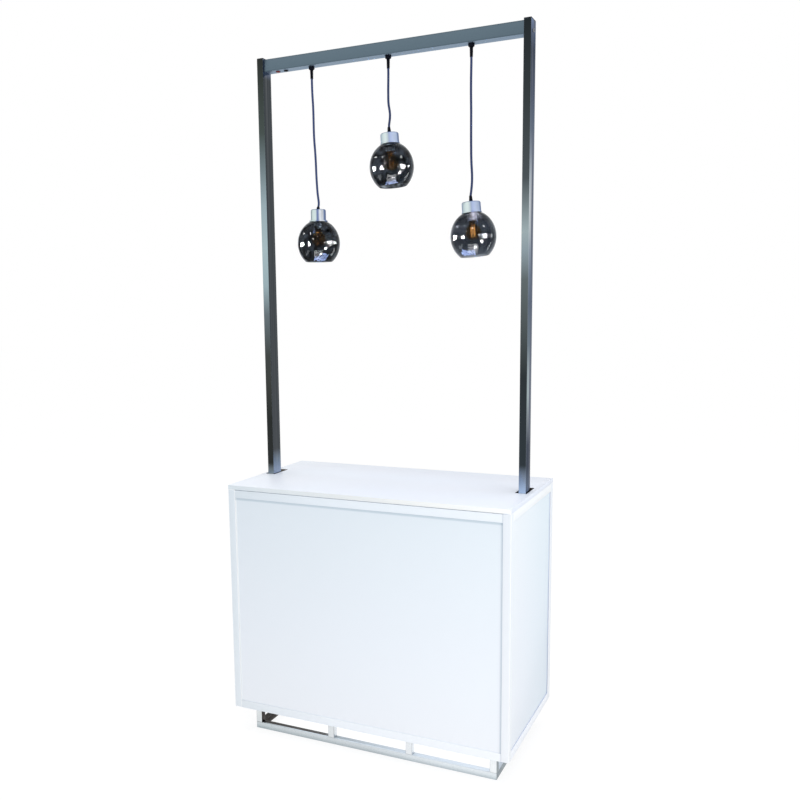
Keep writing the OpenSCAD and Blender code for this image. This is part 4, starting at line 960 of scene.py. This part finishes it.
# The bulb's sphere and neck, its cap, its stem's end and the filament, whose coils hang from a small ring
BULB_R, BULB_NECK_R, BULB_Z, BULB_WALL = 0.030, 0.013, -0.042, 0.0012
CAP_R, CAP_ROWS, THREAD_DEPTH = 0.0126, 90, 0.00055
STEM_Z, ARM_R = -0.024, 0.008
COIL_R, COIL_L, COIL_TURNS, COIL_STEPS = 0.0009, 0.037, 15, 12


def bulb_outline(inset):
    """The bulb's (radius, height): a neck below the holder's foot, then a sphere down to its pole."""
    r, neck = BULB_R - inset, BULB_NECK_R - inset
    a = np.linspace(math.pi / 2 - math.asin(neck / r), -math.pi / 2, 40)
    ball = np.c_[r * np.cos(a), BULB_Z + r * np.sin(a)]
    start = [[neck, -0.0002], [neck, ball[0, 1] * 0.6], [neck + 0.0006, ball[0, 1] * 0.95]]
    return np.concatenate([start, ball[1:]])


class COUNTER_OT_bulbs(CounterOperator, bpy.types.Operator):
    """Makes the filament bulbs"""

    bl_idname = "counter.bulbs"
    bl_label = "Bulbs"

    def make(self, sizes):
        glass = turned(np.concatenate([bulb_outline(0), bulb_outline(BULB_WALL)[::-1]]))
        up = np.linspace(0.001, 0.0215, CAP_ROWS)
        wave = np.cos(2 * np.pi * up[:, None] / sizes.thread_pitch - angles(64))
        thread = turned(np.c_[np.full(CAP_ROWS, CAP_R), up], 64, THREAD_DEPTH * wave)
        crown = rounded([[0.0122, 0.022], [0.0075, 0.0235], [0.0048, 0.0245], [0.0045, 0.026], [0, 0.026]],
                        0.0006)
        cap = np.concatenate([turned([[0, 0], [0.0128, 0]]), thread, turned(crown)])
        stem = rounded([[0, 0.0005], [0.0055, 0.0005], [0.0036, -0.009], [0.0033, STEM_Z + 0.003],
                        [0.0035, STEM_Z], [0, STEM_Z - 0.001]], 0.0015)
        a = angles(64)
        ring = np.c_[ARM_R * np.cos(a), ARM_R * np.sin(a), np.full(64, STEM_Z + 0.0012)]
        grids, numbers = [cap, turned(stem, 32), swept(ring, 0.0007, 10)], [0, 2, 1]
        turns = np.linspace(0, COIL_TURNS * 2 * np.pi, COIL_TURNS * COIL_STEPS)
        for angle in np.arange(4) * math.pi / 2 + math.pi / 4:
            x, y = ARM_R * math.cos(angle), ARM_R * math.sin(angle)
            arm = np.linspace((0, 0, STEM_Z + 0.002), (x, y, STEM_Z + 0.0012), 6)
            coil = np.c_[x + COIL_R * np.cos(turns), y + COIL_R * np.sin(turns),
                         STEM_Z + 0.001 - COIL_L * turns / turns[-1]]
            grids += [swept(arm, 0.0006, 8), swept(coil, COIL_R / 2, 6)]
            numbers += [1, 3]
        for side in SIDES:
            drop, body = CUP_H[side] + HOLDER_DROP, f"{side}_lamp"
            piece(f"{side}_bulb_blown", f"{side}_bulb_glass", [on_lamp(side, glass, drop)], "amber_glass",
                  body=body, closed=True)
            wire = "filament" if side == "right" else "filament_faint"
            piece(f"{side}_bulb_works", f"{side}_bulb_core", [on_lamp(side, grid, drop) for grid in grids],
                  f"bulb_brass zinc_steel amber_glass {wire}", body=body, numbers=numbers)


# The wiring's radius and bends, and where it runs: over the floor board, up the left post, along the header
CABLE_R, CABLE_BEND, CABLE_SHORT_BEND = 0.003, 0.009, 0.003
CABLE_FLOOR_Z, CABLE_POST_X, CABLE_POST_Y, CABLE_HEADER_Z = 0.154, -0.562, 0.012, 2.800


class COUNTER_OT_electrics(CounterOperator, bpy.types.Operator):
    """Makes the light bars, their driver, the control box and the wiring"""

    bl_idname = "counter.electrics"
    bl_label = "Electrics"

    def make(self, sizes):
        eased("light_bars", sizes.board_edge, "light_bar")
        eased("driver", sizes.board_edge, "driver_case")
        eased("control_box", sizes.board_edge, "box_grey")
        eased("mains_inlet", sizes.small_edge, "black_plastic")
        eased("rocker_switch", sizes.small_edge, "rocker_black", body="rocker")
        # To the driver, to the light bars, and up the left post, along the header and down to each gland
        low, x, y, high = CABLE_FLOOR_Z, CABLE_POST_X, CABLE_POST_Y, CABLE_HEADER_Z
        routes = [
            [(-0.301, 0.235, low), (-0.265, 0.235, low), (-0.230, 0.235, low)],
            [(-0.120, 0.180, low), (-0.120, 0, low), (-0.120, -0.2506, low)],
            [(-0.459, 0.235, low), (-0.542, 0.235, low), (-0.542, 0.235, 0.238), (-0.542, y, 0.238),
             (x, y, 0.238), (x, y, high), (0.357, y, high)],
        ]
        routes += [[(gx, 0.009, high), (gx, 0, high), (gx, 0, 2.768)] for gx in GLAND_X.values()]
        cables = [swept(rounded(route, CABLE_BEND if len(route) > 3 else CABLE_SHORT_BEND, 6), CABLE_R)
                  for route in routes]
        piece("wiring_sheathed", "wiring", cables, "cable_black")


def seen_directly(tree):
    """1 for a ray that looks at a surface itself or in a mirror or glass, 0 for one that only lights it."""
    path = add(tree, "LightPath")
    most = add(tree, "Math", {"operation": "MAXIMUM"},
               {0: path.outputs["Is Camera Ray"], 1: path.outputs["Is Glossy Ray"]}).outputs[0]
    return add(tree, "Math", {"operation": "MAXIMUM"},
               {0: most, 1: path.outputs["Is Transmission Ray"]}).outputs[0]


def lamp(name, place, aim, size, watts):
    """An area lamp of a given size in metres."""
    data = bpy.data.lights.new(name, "AREA")
    data.shape, data.size, data.size_y, data.energy = "RECTANGLE", size[0], size[1], watts
    light = bpy.data.objects.new(name, data)
    turn = (Vector(place) - Vector(aim)).to_track_quat("Z", "Y").to_matrix().to_4x4()
    light.matrix_world = Matrix.Translation(place) @ turn
    light.visible_camera = False
    bpy.context.scene.collection.objects.link(light)
    return light


def only_gloss(light, glass):
    """Keeps a lamp out of everything but the gloss of the pieces in one collection."""
    light.light_linking.receiver_collection = glass
    light.visible_diffuse = light.visible_transmission = light.visible_volume_scatter = False


# Highlights on each globe: right and up from its middle in radii, then width, height and level
GLINTS = [
    (-0.79, -0.04, 0.15, 0.15, 300), (-0.46, 0.0, 0.12, 0.16, 520), (0.50, 0.04, 0.18, 0.15, 560),
    (0.75, 0.03, 0.08, 0.10, 260), (0.34, -0.21, 0.11, 0.11, 560), (0.085, -0.45, 0.10, 0.09, 600),
    (-0.375, 0.48, 0.08, 0.08, 95), (-0.28, 0.22, 0.08, 0.08, 80), (0.24, 0.07, 0.08, 0.08, 100),
    (-0.69, 0.45, 0.07, 0.08, 40), (0.43, 0.45, 0.07, 0.07, 44), (-0.05, 0.34, 0.06, 0.06, 60),
    (-0.02, -0.52, 0.46, 0.40, 26), (0.66, -0.40, 0.07, 0.34, 14), (-0.55, -0.42, 0.20, 0.16, 8),
]
# How far a highlight's lamp stands from its spot on the globe
GLINT_FAR = 0.45

# Soft light that no gloss mirrors: name, place, aim, size and watts
SOFTBOXES = [
    ("Overhead softbox", (0, -0.5, 5.5), (0, 0, 1), (4, 4), 36),
    ("Front softbox", (1.2, -4.2, 3.0), (0, 0, 1.2), (3.5, 2.5), 38),
    ("Side softbox", (2.2, -0.8, 1.6), (0.6, 0, 0.7), (1.2, 1.2), 7.5),
]

# Half the floor's width, the light of the white room, and how much the floor is lifted to white
FLOOR = 30
ROOM_LEVEL, SEEN_LEVEL = 0.82, 1.0
FLOOR_LIFT = 0.84


class COUNTER_OT_stage(CounterOperator, bpy.types.Operator):
    """Lays the floor and sets the light"""

    bl_idname = "counter.stage"
    bl_label = "Stage"

    def make(self, sizes):
        bpy.context.scene.view_settings.view_transform = "Standard"
        self.make_room(bpy.context.scene)
        self.make_floor(bpy.context.scene)
        self.make_lights()

    def make_room(self, scene):
        """A white room, whose walls look a little brighter than they light."""
        scene.world = bpy.data.worlds.new("Studio")
        scene.world.use_nodes = True
        tree = scene.world.node_tree
        levels = {0: seen_directly(tree), 3: ROOM_LEVEL, 4: SEEN_LEVEL}
        level = add(tree, "MapRange", inputs=levels).outputs[0]
        back = tree.nodes["Background"]
        back.inputs["Color"].default_value = linear("FFFFFF")
        tree.links.new(level, back.inputs["Strength"])

    def make_floor(self, scene):
        """Matt white paint, lifted to white where it is seen directly. What shades it still shows."""
        mesh = bpy.data.meshes.new("Floor")
        mesh.from_pydata([(x, y, 0) for y in (-FLOOR, FLOOR) for x in (-FLOOR, FLOOR)], [], [(0, 1, 3, 2)])
        floor = bpy.data.objects.new("Floor", mesh)
        scene.collection.objects.link(floor)
        # Matt white paint: an even white that takes soft shadows and mirrors nothing
        paint = bpy.data.materials.new("Matt white floor")
        paint.use_nodes = True
        mesh.materials.append(paint)
        tree = paint.node_tree
        tree.nodes.remove(tree.nodes["Principled BSDF"])
        plain = add(tree, "BsdfDiffuse", inputs={"Color": linear("E6E9ED")}).outputs[0]
        shaded = add(tree, "BsdfDiffuse", inputs={"Color": linear("7A7A7A")}).outputs[0]
        lift = add(tree, "Emission", inputs={"Color": linear("FFFFFF"), "Strength": FLOOR_LIFT}).outputs[0]
        lifted = add(tree, "AddShader", inputs={0: shaded, 1: lift}).outputs[0]
        both = add(tree, "MixShader", inputs={0: seen_directly(tree), 1: plain, 2: lifted}).outputs[0]
        tree.links.new(both, tree.nodes["Material Output"].inputs["Surface"])

    def make_lights(self):
        """The softboxes, the light that the floor throws back and the lamps that the globes mirror."""
        for softbox in SOFTBOXES:
            lamp(*softbox).visible_glossy = False
        lamp("Floor light", (0, 0, 0.084), (0, 0, 0), (1.0, 0.45), 1.0)
        globes = bpy.data.collections.new("Glass that shows the lamps")
        for side in SIDES:
            glass = bpy.data.collections.new(f"Glass of the {side} globe")
            for shown in (globes, glass):
                shown.objects.link(bpy.data.objects[f"{side}_globe_blown"])
            self.make_glints(side, glass)
        # Low down the globes mirror the bright top board
        board = lamp("Board glint", (0, -0.15, 1.085), (0, -0.15, 2), (1.15, 0.75), 260)
        board.data.color = linear("98AEE8")[:3]
        only_gloss(board, globes)

    def make_glints(self, side, glass):
        """Places a globe's highlights. Where the globe, an ellipsoid, is to shine, the camera's ray is
        mirrored, and a lamp stands on it. A step out from the globe's middle turns the ray more than a step
        round it."""
        middle = Vector(on_lamp(side, np.zeros((1, 1, 3)), globe_drop(side))[0, 0])
        view = (Vector(bpy.context.scene.counter_view.place) - middle).normalized()
        right = Vector((-view.y, view.x, 0)).normalized()
        up = view.cross(right)
        flat = GLOBE_R / GLOBE_B
        for number, (x, y, width, height, level) in enumerate(GLINTS):
            depth = math.sqrt(1 - x * x - (y * flat) ** 2)
            spot = middle + GLOBE_R * (x * right + y * up + depth * view)
            normal = (x * right + y * flat ** 2 * up + depth * view).normalized()
            facing = normal.dot(view)
            out, across = 2 * GLINT_FAR / facing + GLOBE_R, 2 * GLINT_FAR * facing + GLOBE_R
            size = (width * out, height * across) if abs(x) > abs(y) else (width * across, height * out)
            place = spot + GLINT_FAR * (2 * facing * normal - view)
            watts = level * math.pi * size[0] * size[1]
            only_gloss(lamp(f"{side.capitalize()} glint {number + 1}", place, spot, size, watts), glass)


OPERATORS = (
    COUNTER_OT_camera, COUNTER_OT_cords, COUNTER_OT_base, COUNTER_OT_frame, COUNTER_OT_panels,
    COUNTER_OT_boards, COUNTER_OT_gantry, COUNTER_OT_mounts, COUNTER_OT_glands, COUNTER_OT_cups,
    COUNTER_OT_globes, COUNTER_OT_bulbs, COUNTER_OT_electrics, COUNTER_OT_stage,
)


class COUNTER_PT_parts(bpy.types.Panel):
    """Lists the counter's operators and what they read"""

    bl_idname = "COUNTER_PT_parts"
    bl_label = "Bar counter"
    bl_space_type = "VIEW_3D"
    bl_region_type = "UI"
    bl_category = "Bar counter"

    def draw(self, context):
        for group in ("counter_finishes", "counter_sizes", "counter_view"):
            settings = getattr(context.scene, group)
            for name in settings.__annotations__:
                self.layout.prop(settings, name)
        for operator in OPERATORS:
            self.layout.operator(operator.bl_idname)


GROUPS = {"counter_finishes": CounterFinishes, "counter_sizes": CounterSizes, "counter_view": CounterView}


def register():
    for name, group in GROUPS.items():
        bpy.utils.register_class(group)
        setattr(bpy.types.Scene, name, bpy.props.PointerProperty(type=group))
    for operator in OPERATORS:
        bpy.utils.register_class(operator)
    bpy.utils.register_class(COUNTER_PT_parts)


def unregister():
    bpy.utils.unregister_class(COUNTER_PT_parts)
    for operator in reversed(OPERATORS):
        bpy.utils.unregister_class(operator)
    for name, group in reversed(GROUPS.items()):
        delattr(bpy.types.Scene, name)
        bpy.utils.unregister_class(group)


def main():
    """Makes the counter."""
    register()
    for operator in OPERATORS:
        getattr(bpy.ops.counter, operator.bl_idname.split(".")[1])()


if __name__ == "__main__":
    main()
